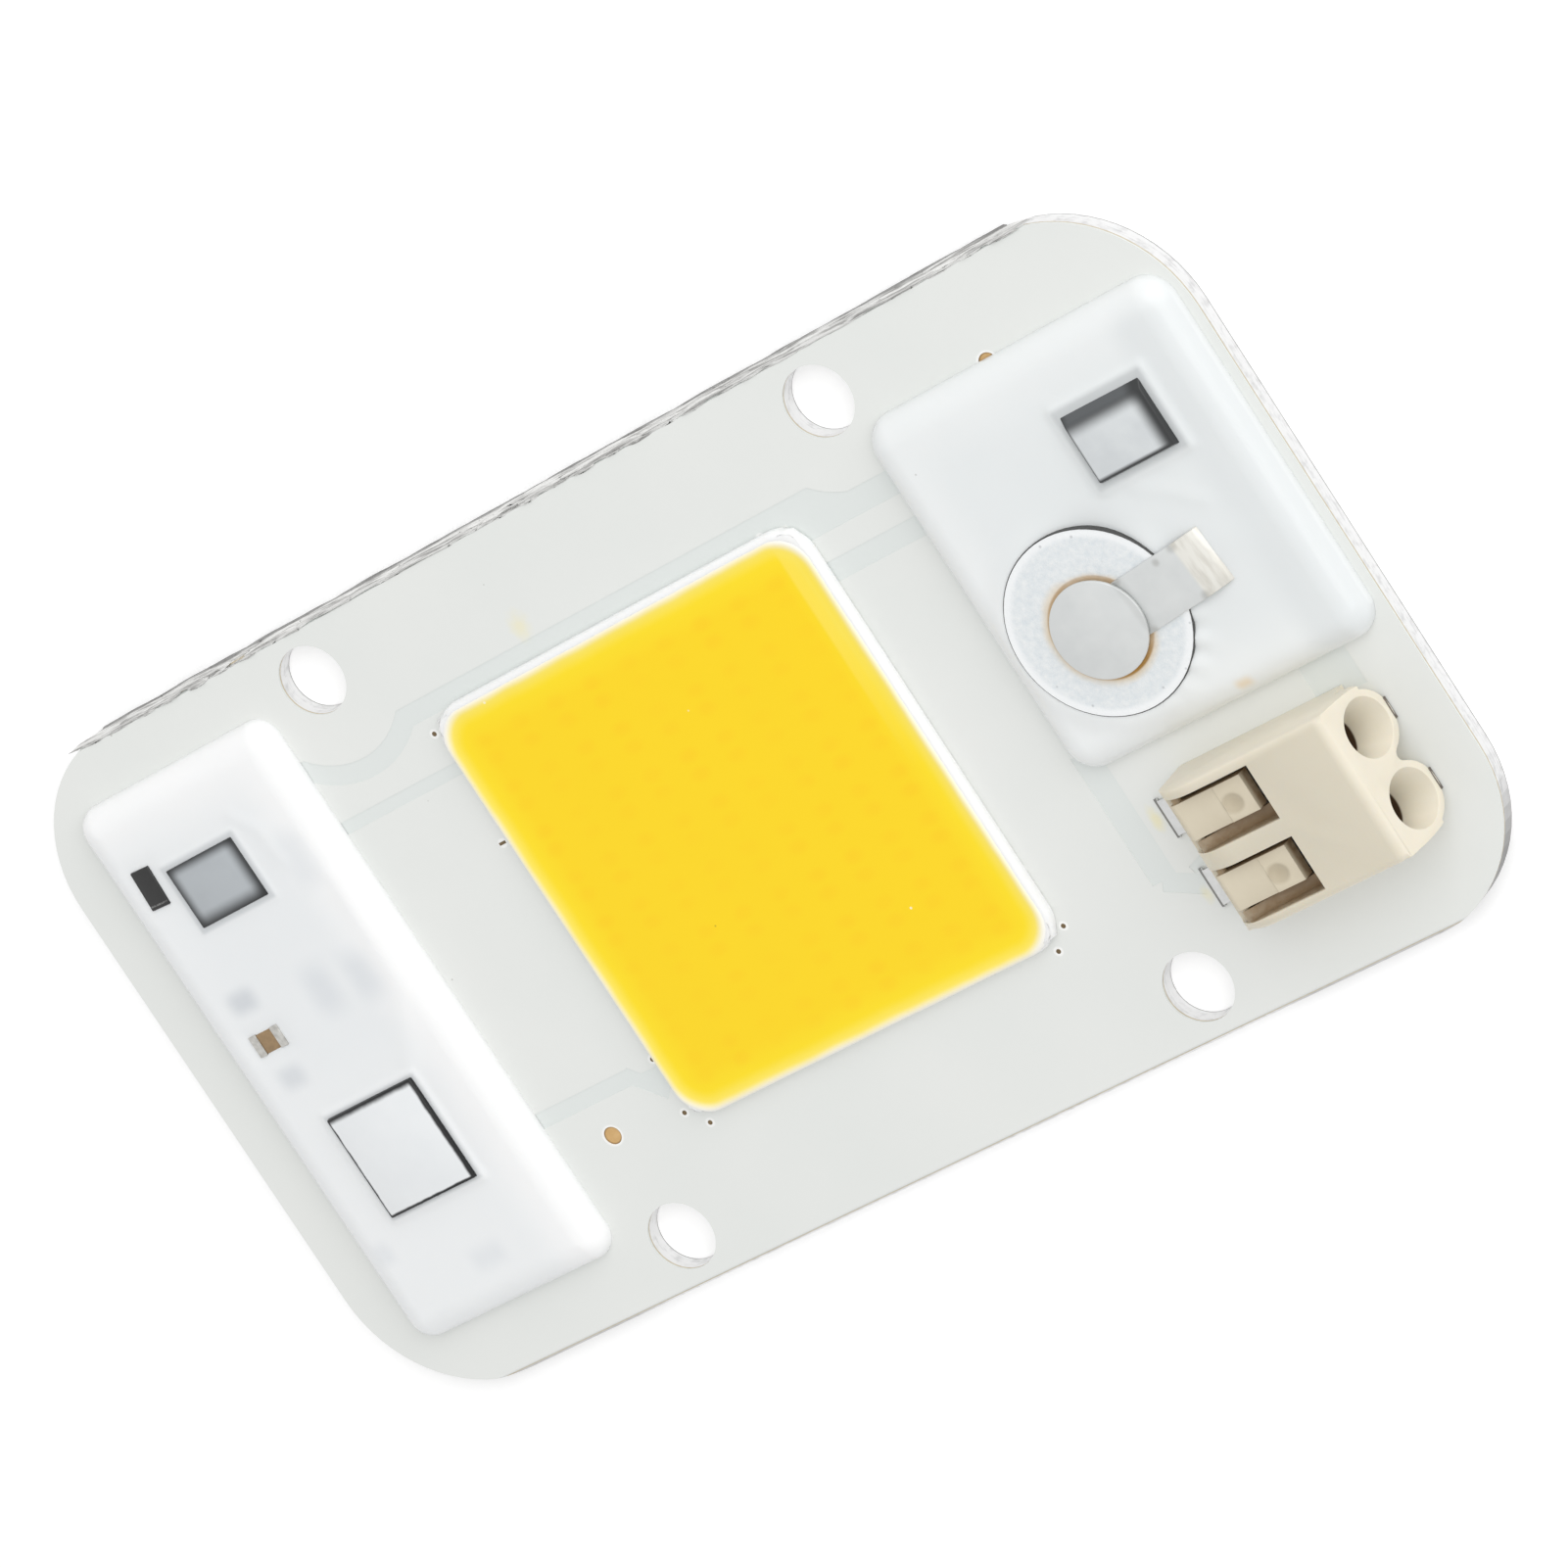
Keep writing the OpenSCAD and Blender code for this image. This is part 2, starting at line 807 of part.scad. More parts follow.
// Heat tab on the right and two leads on the left
module regulator_leads_solid() {
    exit_z = (regulator_h + standoff) / 2;
    left = -regulator_l / 2;
    in_left(regulator_at) {
        translate([regulator_l / 2 - tab_in, -tab_w / 2, 0])
            cube([tab_in + tab_out, tab_w, tab_t]);
        for (sy = [-1, 1])
            translate([0, sy * regulator_lead_pitch / 2, 0])
                along_y(regulator_lead_w)
                    polygon([
                        [left + lead_in, exit_z - tab_t / 2], [left + lead_in, exit_z + tab_t / 2],
                        [left - lead_shoulder - tab_t, exit_z + tab_t / 2],
                        [left - lead_shoulder - tab_t, tab_t], [left - regulator_lead_out, tab_t],
                        [left - regulator_lead_out, 0], [left - lead_shoulder, 0],
                        [left - lead_shoulder, exit_z - tab_t / 2]
                    ]);
    }
}

module regulator_solid() {
    difference() {
        in_left(regulator_at)
            package_body(regulator_l, regulator_w, regulator_h);
        regulator_leads_solid();
    }
}

module regulator_body() {
    color("dimgray")
        regulator_solid();
}

module regulator_leads() {
    color("silver")
        regulator_leads_solid();
}

module diode_leads_solid() {
    in_left(diode_at, diode_turn)
        for (sy = [-1, 1])
            translate([0, sy * diode_l / 2, 0])
                box_on([diode_lead_w, 2 * diode_lead_out, lead_t]);
}

module diode_solid() {
    difference() {
        in_left(diode_at, diode_turn)
            package_body(diode_w, diode_l, diode_h);
        diode_leads_solid();
    }
}

module diode_body() {
    color("black")
        diode_solid();
}

module diode_leads() {
    color("silver")
        diode_leads_solid();
}

module end_feet(l, w, end) {
    for (sx = [-1, 1])
        translate([sx * (l - end) / 2, 0])
            square([end, w], center = true);
}

// Ceramic block held in two metal cups
module capacitor_ceramic() {
    wall = 2 * capacitor_wall;
    in_left(capacitor_at)
        translate([0, 0, capacitor_wall])
            box_on([capacitor_l - wall, capacitor_w - wall, capacitor_h - wall]);
}

module capacitor_ends_solid() {
    difference() {
        in_left(capacitor_at)
            for (sx = [-1, 1])
                translate([sx * (capacitor_l - capacitor_end) / 2, 0, 0])
                    box_on([capacitor_end, capacitor_w, capacitor_h]);
        capacitor_ceramic();
    }
}

module capacitor_body() {
    color("rosybrown")
        capacitor_ceramic();
}

module capacitor_ends() {
    color("silver")
        capacitor_ends_solid();
}

module chip_resistor_form(size) {
    long_x = size.x > size.y;
    length = max(size.x, size.y);
    width = min(size.x, size.y);
    rotate(long_x ? 0 : 90) {
        translate([0, 0, resistor_cap_t])
            box_on([length - 2 * resistor_cap_t, width - 2 * resistor_cap_t,
                size.z - 2 * resistor_cap_t]);
        for (sx = [-1, 1])
            translate([sx * (length - resistor_cap) / 2, 0, 0])
                box_on([resistor_cap, width, size.z]);
    }
}

module resistor_solid(index) {
    large = len(large_resistors_at);
    if (index < large)
        in_left(large_resistors_at[index])
            chip_resistor_form(large_resistor);
    else
        in_left(small_resistors_at[index - large])
            chip_resistor_form(small_resistor);
}

module chip_resistor(index) {
    color("darkslategray")
        resistor_solid(index);
}

module rectifier_leads_solid() {
    in_right(rectifier_at)
        gull_leads(rectifier_lead_pairs, rectifier_lead_pitch, rectifier_lead_w, rectifier_w,
            rectifier_span, (rectifier_h + standoff) / 2);
}

module rectifier_solid() {
    difference() {
        in_right(rectifier_at)
            package_body(rectifier_l, rectifier_w, rectifier_h, rectifier_draft,
                [rectifier_chamfer, rectifier_chamfer_h]);
        rectifier_leads_solid();
    }
}

module rectifier_body() {
    color("dimgray")
        rectifier_solid();
}

module rectifier_leads() {
    color("silver")
        rectifier_leads_solid();
}

// Varistor

module disc_solid(gap = 0) {
    in_right(disc_at)
        translate([0, 0, electrode_t])
            cylinder(d = disc_d + 2 * gap, h = disc_t);
}

module electrodes_solid(gap = 0) {
    in_right(disc_at)
        for (z = [0, electrode_t + disc_t])
            translate([0, 0, z])
                cylinder(r = disc_d / 2 - electrode_rim + gap, h = electrode_t);
}

// Keyhole-shaped strap: round head on the disc, flat arm, slope, drop and foot on the board
module strap_solid() {
    top = disc_top + strap_t;
    slope_end = strap_flat + strap_slope;
    in_right(disc_at + strap_head_off, strap_angle) {
        translate([0, 0, disc_top])
            cylinder(r = strap_head_r, h = strap_t);
        along_y(strap_w)
            polygon([
                [0, disc_top], [0, top], [strap_flat, top], [slope_end, top - strap_fall],
                [strap_end, strap_t], [strap_end + strap_foot, strap_t],
                [strap_end + strap_foot, 0], [strap_end - strap_t, 0],
                [slope_end - strap_t, disc_top - strap_fall], [strap_flat, disc_top]
            ]);
    }
}

module varistor_disc() {
    color("darkslategray")
        disc_solid();
}

module varistor_electrodes() {
    color("lightsteelblue")
        electrodes_solid();
}

module varistor_strap() {
    color("silver")
        strap_solid();
}

// Silicone potting

// Pad with rounded corners and a rounded top edge
module potting_form(l, w) {
    hull()
        for (sx = [-1, 1], sy = [-1, 1], a = [0 : 30 : 90])
            translate([sx * (l / 2 - potting_r), sy * (w / 2 - potting_r), 0])
                cylinder(
                    r = potting_r - potting_edge_r * (1 - cos(a)),
                    h = potting_h - potting_edge_r * (1 - sin(a)),
                    $fn = 32
                );
}

// Thin skin of silicone left on a package top, which starts past the chamfer of one long edge
module skin(l, w, h, draft = package_draft, chamfer_w = package_draft) {
    border = 2 * (draft + skin_border);
    shift = (chamfer_w - draft) / 2;
    translate([0, -shift, h])
        linear_extrude(skin_t)
            rounded_rect(l - border, w - border - 2 * shift, skin_r);
}

module potting_left() {
    color("white") {
        difference() {
            in_left([0, 0])
                potting_form(left_l, left_w);
            driver_solid();
            driver_leads_solid();
            regulator_solid();
            regulator_leads_solid();
            diode_solid();
            diode_leads_solid();
            capacitor_ceramic();
            capacitor_ends_solid();
            for (index = [0 : resistors - 1])
                resistor_solid(index);
        }
        in_left(regulator_at)
            skin(regulator_l, regulator_w, regulator_h);
        in_left(driver_at)
            skin(driver_l, driver_w, driver_h);
    }
}

module potting_right() {
    color("white") {
        difference() {
            in_right([0, 0])
                potting_form(right_l, right_w);
            rectifier_solid();
            rectifier_leads_solid();
            disc_solid(pot_gap);
            electrodes_solid(pot_gap);
            strap_solid();
        }
        in_right(rectifier_at)
            skin(rectifier_l, rectifier_w, rectifier_h, rectifier_draft, rectifier_chamfer);
    }
}

// Terminal

module terminal_side() {
    top_front = terminal_l - front_lean;
    polygon([[rear_r, 0], [terminal_l, 0], [top_front, terminal_h], [rear_r, terminal_h]]);
    square([rear_r, terminal_h - rear_r]);
    intersection() {
        translate([rear_r, terminal_h - rear_r])
            circle(r = rear_r);
        square([rear_r, terminal_h]);
    }
}

module terminal_plan() {
    hull()
        for (sy = [-1, 1]) {
            translate([terminal_corner_r, sy * (terminal_w / 2 - terminal_corner_r)])
                circle(r = terminal_corner_r);
            translate([terminal_l - front_corner_r, sy * (terminal_w / 2 - front_corner_r)])
                circle(r = front_corner_r);
        }
}

// What is cut away under the front so that each funnel has a round collar
module collar_relief() {
    translate([collar_x + terminal_l / 2, 0, 0])
        along_x(terminal_l)
            difference() {
                translate([-terminal_w, -over])
                    square([2 * terminal_w, collar_web_z + over]);
                for (y = pole_y)
                    translate([y, wire_z])
                        circle(r = collar_r);
            }
}

// Hollow of one pole: lever slot, trunnion holes, clamp space, wire hole, funnel and strip groove
module pole_hollow() {
    lean_angle = atan2(front_lean, terminal_h);
    translate([-over, -slot_w / 2, slot_floor])
        cube([slot_l + over, slot_w, terminal_h]);
    translate([pivot_x, 0, pivot_z])
        rotate([90, 0, 0])
            cylinder(
                r = trunnion_r + trunnion_gap,
                h = slot_w + 2 * (trunnion_in + trunnion_gap),
                center = true
            );
    translate([cavity_rear, -cavity_w / 2, -over])
        cube([front_wall_rear - cavity_rear, cavity_w, cage_top + cage_gap + over]);
    translate([front_wall_rear - over, 0, wire_z])
        rotate([0, 90, 0])
            cylinder(r = wire_r, h = throat_x - front_wall_rear + 2 * over);
    hull() {
        translate([throat_x - over, 0, wire_z])
            rotate([0, 90, 0])
                cylinder(r = wire_r, h = over);
        translate([front_x, 0, wire_z])
            rotate([0, 90 - lean_angle, 0])
                cylinder(r = funnel_r, h = over);
    }
    translate([-over, -rear_tab_w / 2 - strip_gap, -over])
        cube([cavity_rear + 2 * over, rear_tab_w + 2 * strip_gap, strip_t + strip_gap + over]);
    translate([front_wall_rear - over, -front_tab_w / 2 - strip_gap, -over])
        cube([terminal_l, front_tab_w + 2 * strip_gap, strip_t + strip_gap + over]);
}

module terminal_housing() {
    color("bisque")
        in_terminal()
            difference() {
                intersection() {
                    along_y(terminal_w)
                        terminal_side();
                    linear_extrude(terminal_h)
                        terminal_plan();
                }
                collar_relief();
                for (y = pole_y)
                    translate([0, y, 0])
                        pole_hollow();
            }
}

// Strip with a solder tab at each end and a cage that the wire is clamped in
module contact(y) {
    middle_w = leaf_w + 2 * leaf_side;
    color("lightgray")
        in_terminal(y) {
            translate([-rear_tab_out, -rear_tab_w / 2, 0])
                cube([rear_tab_out + cavity_rear, rear_tab_w, strip_t]);
            translate([cavity_rear, -middle_w / 2, 0])
                cube([cage_front - cavity_rear, middle_w, strip_t]);
            translate([cage_front - over, -front_tab_w / 2, 0])
                cube([terminal_l - front_tab_back - cage_front + over, front_tab_w, strip_t]);
            translate([cage_rear, 0, 0])
                cube([cage_front - cage_rear, cage_side, strip_t]);
            translate([cage_rear, cage_side - cage_t, 0])
                cube([cage_front - cage_rear, cage_t, cage_top]);
            translate([cage_rear, -cage_side, cage_top - cage_t])
                cube([cage_front - cage_rear, 2 * cage_side, cage_t]);
        }
}

function leaf_under(x) = strip_t + leaf_rise * (leaf_bend - x) / (leaf_bend - leaf_tip);

// Bent leaf: foot on the strip and a free end that leans back into the wire's way
module clamp_spring(y) {
    tip_z = leaf_under(leaf_tip);
    color("slategray")
        in_terminal(y)
            along_y(leaf_w)
                polygon([
                    [leaf_root, strip_t], [leaf_bend, strip_t], [leaf_tip, tip_z],
                    [leaf_tip, tip_z + leaf_t], [leaf_bend, strip_t + leaf_t],
                    [leaf_root, strip_t + leaf_t]
                ]);
}

// Lever on two trunnions, with a press dimple above and a nose below that meets the spring
module release_lever(y) {
    dimple_sphere = (pow(dimple_r, 2) + pow(dimple_d, 2)) / (2 * dimple_d);
    nose_low = leaf_under(nose_x - nose_l / 2) + leaf_t + nose_gap;
    color("antiquewhite")
        in_terminal(y)
            difference() {
                union() {
                    along_y(lever_w) {
                        polygon([
                            [pivot_x, lever_under + lever_step], [pad_x, lever_under],
                            [lever_front, lever_under], [lever_front, lever_top],
                            [pad_x, lever_top], [pad_x - lever_step, lever_top - lever_step],
                            [pivot_x, lever_top - lever_step]
                        ]);
                        translate([pivot_x, pivot_z])
                            circle(d = lever_t - 2 * lever_step);
                    }
                    translate([nose_x, 0, nose_low])
                        box_on([nose_l, nose_w, lever_under - nose_low + over]);
                    translate([pivot_x, 0, pivot_z])
                        rotate([90, 0, 0])
                            cylinder(r = trunnion_r, h = slot_w + 2 * trunnion_in, center = true);
                }
                translate([nose_x, 0, lever_top + dimple_sphere - dimple_d])
                    sphere(r = dimple_sphere);
            }
}

aluminium_core();
dielectric_layer();
copper_foil();
solder_mask();
solder_pads();
led_dies();
emitter_dam();
phosphor_fill();
driver_body();
driver_leads();
regulator_body();
regulator_leads();
diode_body();
diode_leads();
capacitor_body();
capacitor_ends();
for (index = [0 : resistors - 1])
    chip_resistor(index);
potting_left();
rectifier_body();
rectifier_leads();
varistor_disc();
varistor_electrodes();
varistor_strap();
potting_right();
terminal_housing();
for (pole = [0, 1]) {
    contact(pole_y[pole]);
    clamp_spring(pole_y[pole]);
    release_lever(pole_y[pole]);
}
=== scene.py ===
import math
from functools import partial

import bpy
import numpy as np
from mathutils import Matrix, Vector


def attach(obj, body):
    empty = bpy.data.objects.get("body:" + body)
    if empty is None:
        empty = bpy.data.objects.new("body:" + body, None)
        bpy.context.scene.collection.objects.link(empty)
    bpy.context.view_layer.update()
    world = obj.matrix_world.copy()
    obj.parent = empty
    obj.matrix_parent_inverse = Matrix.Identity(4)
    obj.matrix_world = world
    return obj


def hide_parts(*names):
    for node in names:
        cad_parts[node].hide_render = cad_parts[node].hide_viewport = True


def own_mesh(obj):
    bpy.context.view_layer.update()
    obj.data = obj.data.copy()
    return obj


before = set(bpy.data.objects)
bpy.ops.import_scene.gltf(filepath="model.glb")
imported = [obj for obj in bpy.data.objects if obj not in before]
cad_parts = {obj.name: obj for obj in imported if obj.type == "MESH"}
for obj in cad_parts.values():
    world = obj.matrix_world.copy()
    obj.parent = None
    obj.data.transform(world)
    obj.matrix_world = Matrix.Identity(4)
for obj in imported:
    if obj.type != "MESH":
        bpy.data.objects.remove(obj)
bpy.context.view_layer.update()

# Aluminium core
# The base plate that carries the circuit and spreads its heat: 1 mm rolled aluminium sheet,
# routed round its ends and drilled at the four screw holes.

MM = 0.001
# Where the painted shade of the corners begins and is full, from the middle of the part.
CORNER_SHADE = (28.0, 30.0)


def linear(code):
    """Turns an sRGB hex colour into linear RGBA."""
    parts = [int(code[i:i + 2], 16) / 255 for i in (1, 3, 5)]
    return [p / 12.92 if p <= 0.04045 else ((p + 0.055) / 1.055) ** 2.4 for p in parts] + [1.0]


def add_node(tree, kind, inputs, out=0, **settings):
    """Adds a shader node with its settings, sets or links its inputs, and gives one output."""
    node = tree.nodes.new("ShaderNode" + kind)
    for name, value in settings.items():
        setattr(node, name, value)
    for socket, value in inputs.items():
        if isinstance(value, bpy.types.NodeSocket):
            tree.links.new(value, node.inputs[socket])
        else:
            node.inputs[socket].default_value = value
    return node.outputs[out] if node.outputs else None


def begin_finish(name):
    """Starts a material and gives it, what adds a node to it, and the place on the part in millimetres,
    so that a pattern's scale is one over its size in millimetres."""
    finish = bpy.data.materials.new(name)
    finish.use_nodes = True
    finish.node_tree.nodes.clear()
    add = partial(add_node, finish.node_tree)
    metres = add("TexCoord", {}, out="Object")
    place = add("VectorMath", {0: metres, "Scale": 1 / MM}, operation="SCALE")
    return finish, add, place


def blend(add, ground, layers):
    """Lays colours over a ground, each as far as its cover goes."""
    colour = linear(ground)
    for cover, over in layers:
        over = linear(over) if isinstance(over, str) else over
        colour = add("Mix", {0: cover, 6: colour, 7: over}, out=2, data_type="RGBA")
    return colour


def end_finish(add, ground, layers, surface, grain=None, relief=None):
    """Ends a material: blends its colours, adds relief from its grain, by a strength and a height in
    millimetres, and sets the surface's sockets."""
    sockets = {"Base Color": blend(add, ground, layers), **surface}
    if grain is not None:
        strength, deep = relief
        sockets["Normal"] = add("Bump", {"Height": grain, "Strength": strength, "Distance": deep * MM})
    shader = add("BsdfPrincipled", sockets)
    add("OutputMaterial", {"Surface": shader})


def dress(node, finish):
    """Gives a CAD node its finish."""
    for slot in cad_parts[node].material_slots:
        slot.material = finish


# Bare aluminium: fine rolling lines along the faces, and cutter lines 0.1 mm apart round the routed
# walls, which catch the light as pale and grey streaks. The walls are darker at their foot, and grey
# with painted shade at the corners of the side that faces away from the lamp.
routed_aluminium, add, place = begin_finish("routed_aluminium")
normal = add("NewGeometry", {}, out="True Normal")
facing = add("SeparateXYZ", {0: normal}).node.outputs
level = add("Math", {0: facing["Z"]}, operation="ABSOLUTE")
wall_place = add("VectorMath", {0: place, 1: (0.5, 0.5, 10.0)}, operation="MULTIPLY")
face_place = add("VectorMath", {0: place, 1: (0.2, 9.0, 1.0)}, operation="MULTIPLY")
wall_lines = add("TexNoise", {"Vector": wall_place, "Scale": 1.0, "Detail": 4.0, "Roughness": 0.7})
face_lines = add("TexNoise", {"Vector": face_place, "Scale": 1.0, "Detail": 3.0})
lines = add("Mix", {0: level, 2: wall_lines, 3: face_lines}, data_type="FLOAT")
chatter = add("TexNoise", {"Vector": place, "Scale": 2.0, "Detail": 2.0})
grain = add("Math", {0: lines, 1: chatter}, operation="MULTIPLY")
streak = add("MapRange", {"Value": grain, "From Min": 0.10, "From Max": 0.26})
height = add("SeparateXYZ", {0: place}, out="Z")
foot = add("MapRange", {"Value": height, "From Min": 0.10, "From Max": 0.02, "To Max": 0.7})
# Painted shade: walls that face -Y, away from the lamp, turn grey towards the corners.
flank = add("MapRange", {"Value": facing["Y"], "From Min": -0.2, "From Max": -0.7, "To Max": 0.8})
far_out = add("VectorMath", {0: place}, out="Value", operation="LENGTH")
far_out = add("MapRange", {"Value": far_out, "From Min": CORNER_SHADE[0], "From Max": CORNER_SHADE[1]})
corner = add("Math", {0: flank, 1: far_out}, operation="MULTIPLY")
dark_foot_and_shade = add("Math", {0: foot, 1: corner}, operation="MAXIMUM")
wall = add("Math", {0: 1.0, 1: level}, operation="SUBTRACT")
dark_foot_and_shade = add("Math", {0: dark_foot_and_shade, 1: wall}, operation="MULTIPLY")
end_finish(
    add, "#CCCCCC", [(streak, "#E8E8E8"), (dark_foot_and_shade, "#6F6E6C")], {"Metallic": 0.7, "Roughness": 0.45},
    grain, (0.5, 0.02))
dress("aluminium_core", routed_aluminium)

# Scored edge
# The board is snapped out of its panel along V scores on both long edges. One edge broke clean. On
# the other the score's flank is scraped and the web below it is torn, a ragged, streaky band.

BOARD_TOP = 1.22
HALF_WIDTH = 20.0
SCORE_WIDTH = 0.3
SCORE_DEPTH = 0.4
SCORE_TIP = 31.9
WEB_TIP = 30.4
FLANK_SHARE = 0.6
FRAY = 0.10
FRAY_WAVES = (3.1, 1.7, 0.9)
STAND_OFF = 0.02
TEAR_GRAIN = 0.3
TEAR_HEIGHT = 0.22
TEAR_STRETCH = 10
EDGE_SKIN = 0.12
# Heights at which the burr and the tear at the root begin and are full.
BURR = (1.27, 1.31)
ROOT = (1.04, 0.94)

# Torn and scraped aluminium: bright ridges a few millimetres long that run with the edge, a faint
# burr under the lacquer and a dark tear at the root of the score.
torn_aluminium, add, place = begin_finish("torn_aluminium")
long_place = add("VectorMath", {0: place, 1: (0.35, 7.0, 9.0)}, operation="MULTIPLY")
tear = add("TexNoise", {"Vector": long_place, "Scale": 1.0, "Detail": 5.0, "Roughness": 0.65})
streak = add("MapRange", {"Value": tear, "From Min": 0.38, "From Max": 0.56})
height = add("SeparateXYZ", {0: place}, out="Z")
waver = add("Math", {0: tear, 1: 0.16, 2: height}, operation="MULTIPLY_ADD")
burr = add("MapRange", {"Value": waver, "From Min": BURR[0], "From Max": BURR[1], "To Max": 0.10})
root = add("MapRange", {"Value": waver, "From Min": ROOT[0], "From Max": ROOT[1], "To Max": 0.65})
dark = add("Math", {0: burr, 1: root}, operation="MAXIMUM")
end_finish(
    add, "#9F9E9C", [(streak, "#EDEDEB"), (dark, "#454443")], {"Metallic": 0.6, "Roughness": 0.5},
    tear, (0.8, 0.08))


def new_piece(name, primitive, **settings):
    """Starts a piece from a primitive, with nothing else selected, and puts its place in its mesh."""
    bpy.ops.object.select_all(action="DESELECT")
    primitive(**settings)
    piece = bpy.context.object
    piece.name = piece.data.name = name
    bpy.ops.object.transform_apply(location=True, rotation=True, scale=True)
    return piece


def read_points(piece):
    """Gives a piece's vertices in millimetres."""
    points = np.empty(len(piece.data.vertices) * 3)
    piece.data.vertices.foreach_get("co", points)
    return points.reshape(-1, 3) / MM


def write_points(piece, points):
    """Sets a piece's vertices from millimetres."""
    piece.data.vertices.foreach_set("co", (points * MM).ravel())
    piece.data.update()


def apply_modifier(piece, kind, **settings):
    """Adds one modifier to a piece and applies it."""
    modifier = piece.modifiers.new(kind.lower(), kind)
    for name, value in settings.items():
        setattr(modifier, name, value)
    bpy.context.view_layer.objects.active = piece
    bpy.ops.object.modifier_apply(modifier=modifier.name)


def pick(*pieces):
    """Selects these pieces alone and makes the first one active."""
    bpy.ops.object.select_all(action="DESELECT")
    for piece in pieces:
        piece.select_set(True)
    bpy.context.view_layer.objects.active = pieces[0]


def finish_piece(piece, finish, body="board", smooth=40):
    """Smooths a finished piece, gives it its material and slot, and sets it on its body."""
    pick(piece)
    bpy.ops.object.shade_smooth_by_angle(angle=math.radians(smooth))
    piece.data.materials.clear()
    piece.data.materials.append(finish)
    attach(piece, body)


def swell(x, y, lengths, seed):
    """A slow unevenness, from minus one to one, of waves with the lengths given in millimetres."""
    total = np.zeros_like(x)
    for number, length in enumerate(lengths):
        turn = seed + 2.4 * number
        run = x * math.cos(turn) + y * math.sin(turn)
        total += np.sin(2 * math.pi * run / length + 1.7 * seed + number)
    return total / len(lengths)


# The band is torn while it is a tenth as long, which draws the tears out along the edge.
tear_cloud = bpy.data.textures.new("tear_cloud", "CLOUDS")
tear_cloud.noise_scale = TEAR_GRAIN * MM
tear_cloud.noise_depth = 3
edge = new_piece(
    "torn_edge", bpy.ops.mesh.primitive_grid_add, x_subdivisions=500, y_subdivisions=10, size=2.0)
share = read_points(edge) * MM
along, down = share[:, 0], (1 - share[:, 1]) / 2
flank = np.clip(down / FLANK_SHARE, 0, 1)
web = np.clip((down - FLANK_SHARE) / (1 - FLANK_SHARE), 0, 1)
fray = FRAY * swell(along * SCORE_TIP, 0 * along, FRAY_WAVES, 0.4)
write_points(edge, np.column_stack((
    along * (SCORE_TIP + (WEB_TIP - SCORE_TIP) * flank) / TEAR_STRETCH,
    HALF_WIDTH - (SCORE_WIDTH + fray) * (1 - flank) + STAND_OFF,
    BOARD_TOP - SCORE_DEPTH * (flank + web) + STAND_OFF)))
apply_modifier(
    edge, "DISPLACE", texture=tear_cloud, texture_coords="LOCAL", strength=TEAR_HEIGHT * MM, mid_level=0.45)
apply_modifier(edge, "SOLIDIFY", thickness=EDGE_SKIN * MM, offset=-1.0)
write_points(edge, read_points(edge) * (TEAR_STRETCH, 1, 1))
finish_piece(edge, torn_aluminium, smooth=25)

# Insulating layer
# A tenth of a millimetre of ceramic-filled epoxy, pressed between the plate and the copper. It
# shows only as a thin tan line in the cut edges.


def mottled_finish(name, shades, crowd, detail, surface, relief=None):
    """A plain material: two shades in a mottle, crowded as given per millimetre and broken up by its
    detail, that also gives the relief, if there is any."""
    finish, add, place = begin_finish(name)
    mottle = add("TexNoise", {"Vector": place, "Scale": crowd, "Detail": detail})
    end_finish(add, shades[0], [(mottle, shades[1])], surface, mottle if relief else None, relief)
    return finish


# Filled epoxy: dull and tan, clouded by its ceramic powder.
epoxy_dielectric = mottled_finish(
    "ceramic_filled_epoxy", ("#B5A382", "#DAD1BE"), 4.0, 3.0, {"Roughness": 0.6})
dress("dielectric_layer", epoxy_dielectric)

# Copper foil
# The circuit, etched from copper foil. It is bare only at the two test dots, where a thin gold
# coloured flash keeps it from tarnishing.

TEST_DOTS = [(-17.2, -10.8), (26.28, 14.83)]
DOT_SHADE = (0.40, 0.48)
DOT_REACH = 0.6


def from_spot(add, place, spot, size=(1.0, 1.0)):
    """The way from a spot to a point, seen from above, in millimetres or in shares of a size."""
    away = add("VectorMath", {0: place, 1: (*spot, 0.0)}, operation="SUBTRACT")
    return add("VectorMath", {0: away, 1: (1 / size[0], 1 / size[1], 0.0)}, operation="MULTIPLY")


def plan_reach(add, place, spot, size=(1.0, 1.0)):
    """How far it is from a spot to a point, seen from above."""
    away = from_spot(add, place, spot, size)
    return add("VectorMath", {0: away}, out="Value", operation="LENGTH")


# Gold flash: warm, satin, a little tarnished, and brown where the lacquer's edge shades it.
gilt_copper, add, place = begin_finish("gold_flashed_copper")
tarnish = add("TexNoise", {"Vector": place, "Scale": 2.5, "Detail": 4.0})
layers = [(tarnish, "#DDBB88")]
for spot in TEST_DOTS:
    reach = plan_reach(add, place, spot)
    shaded = add("MapRange", {
        "Value": reach, "From Min": DOT_SHADE[0], "From Max": DOT_SHADE[1], "To Max": 0.8})
    on_dot = add("Math", {0: reach, 1: DOT_REACH}, operation="LESS_THAN")
    shaded = add("Math", {0: shaded, 1: on_dot}, operation="MULTIPLY")
    layers.append((shaded, "#7A5C36"))
end_finish(add, "#C49C62", layers, {"Metallic": 0.7, "Roughness": 0.45}, tarnish, (0.3, 0.01))
dress("copper_foil", gilt_copper)

# Solder mask
# White photo-cured lacquer over the foil. It dips a few hundredths of a millimetre over the
# etched gaps, stands in a thick pale lip round its openings, and flux has stained it in places.

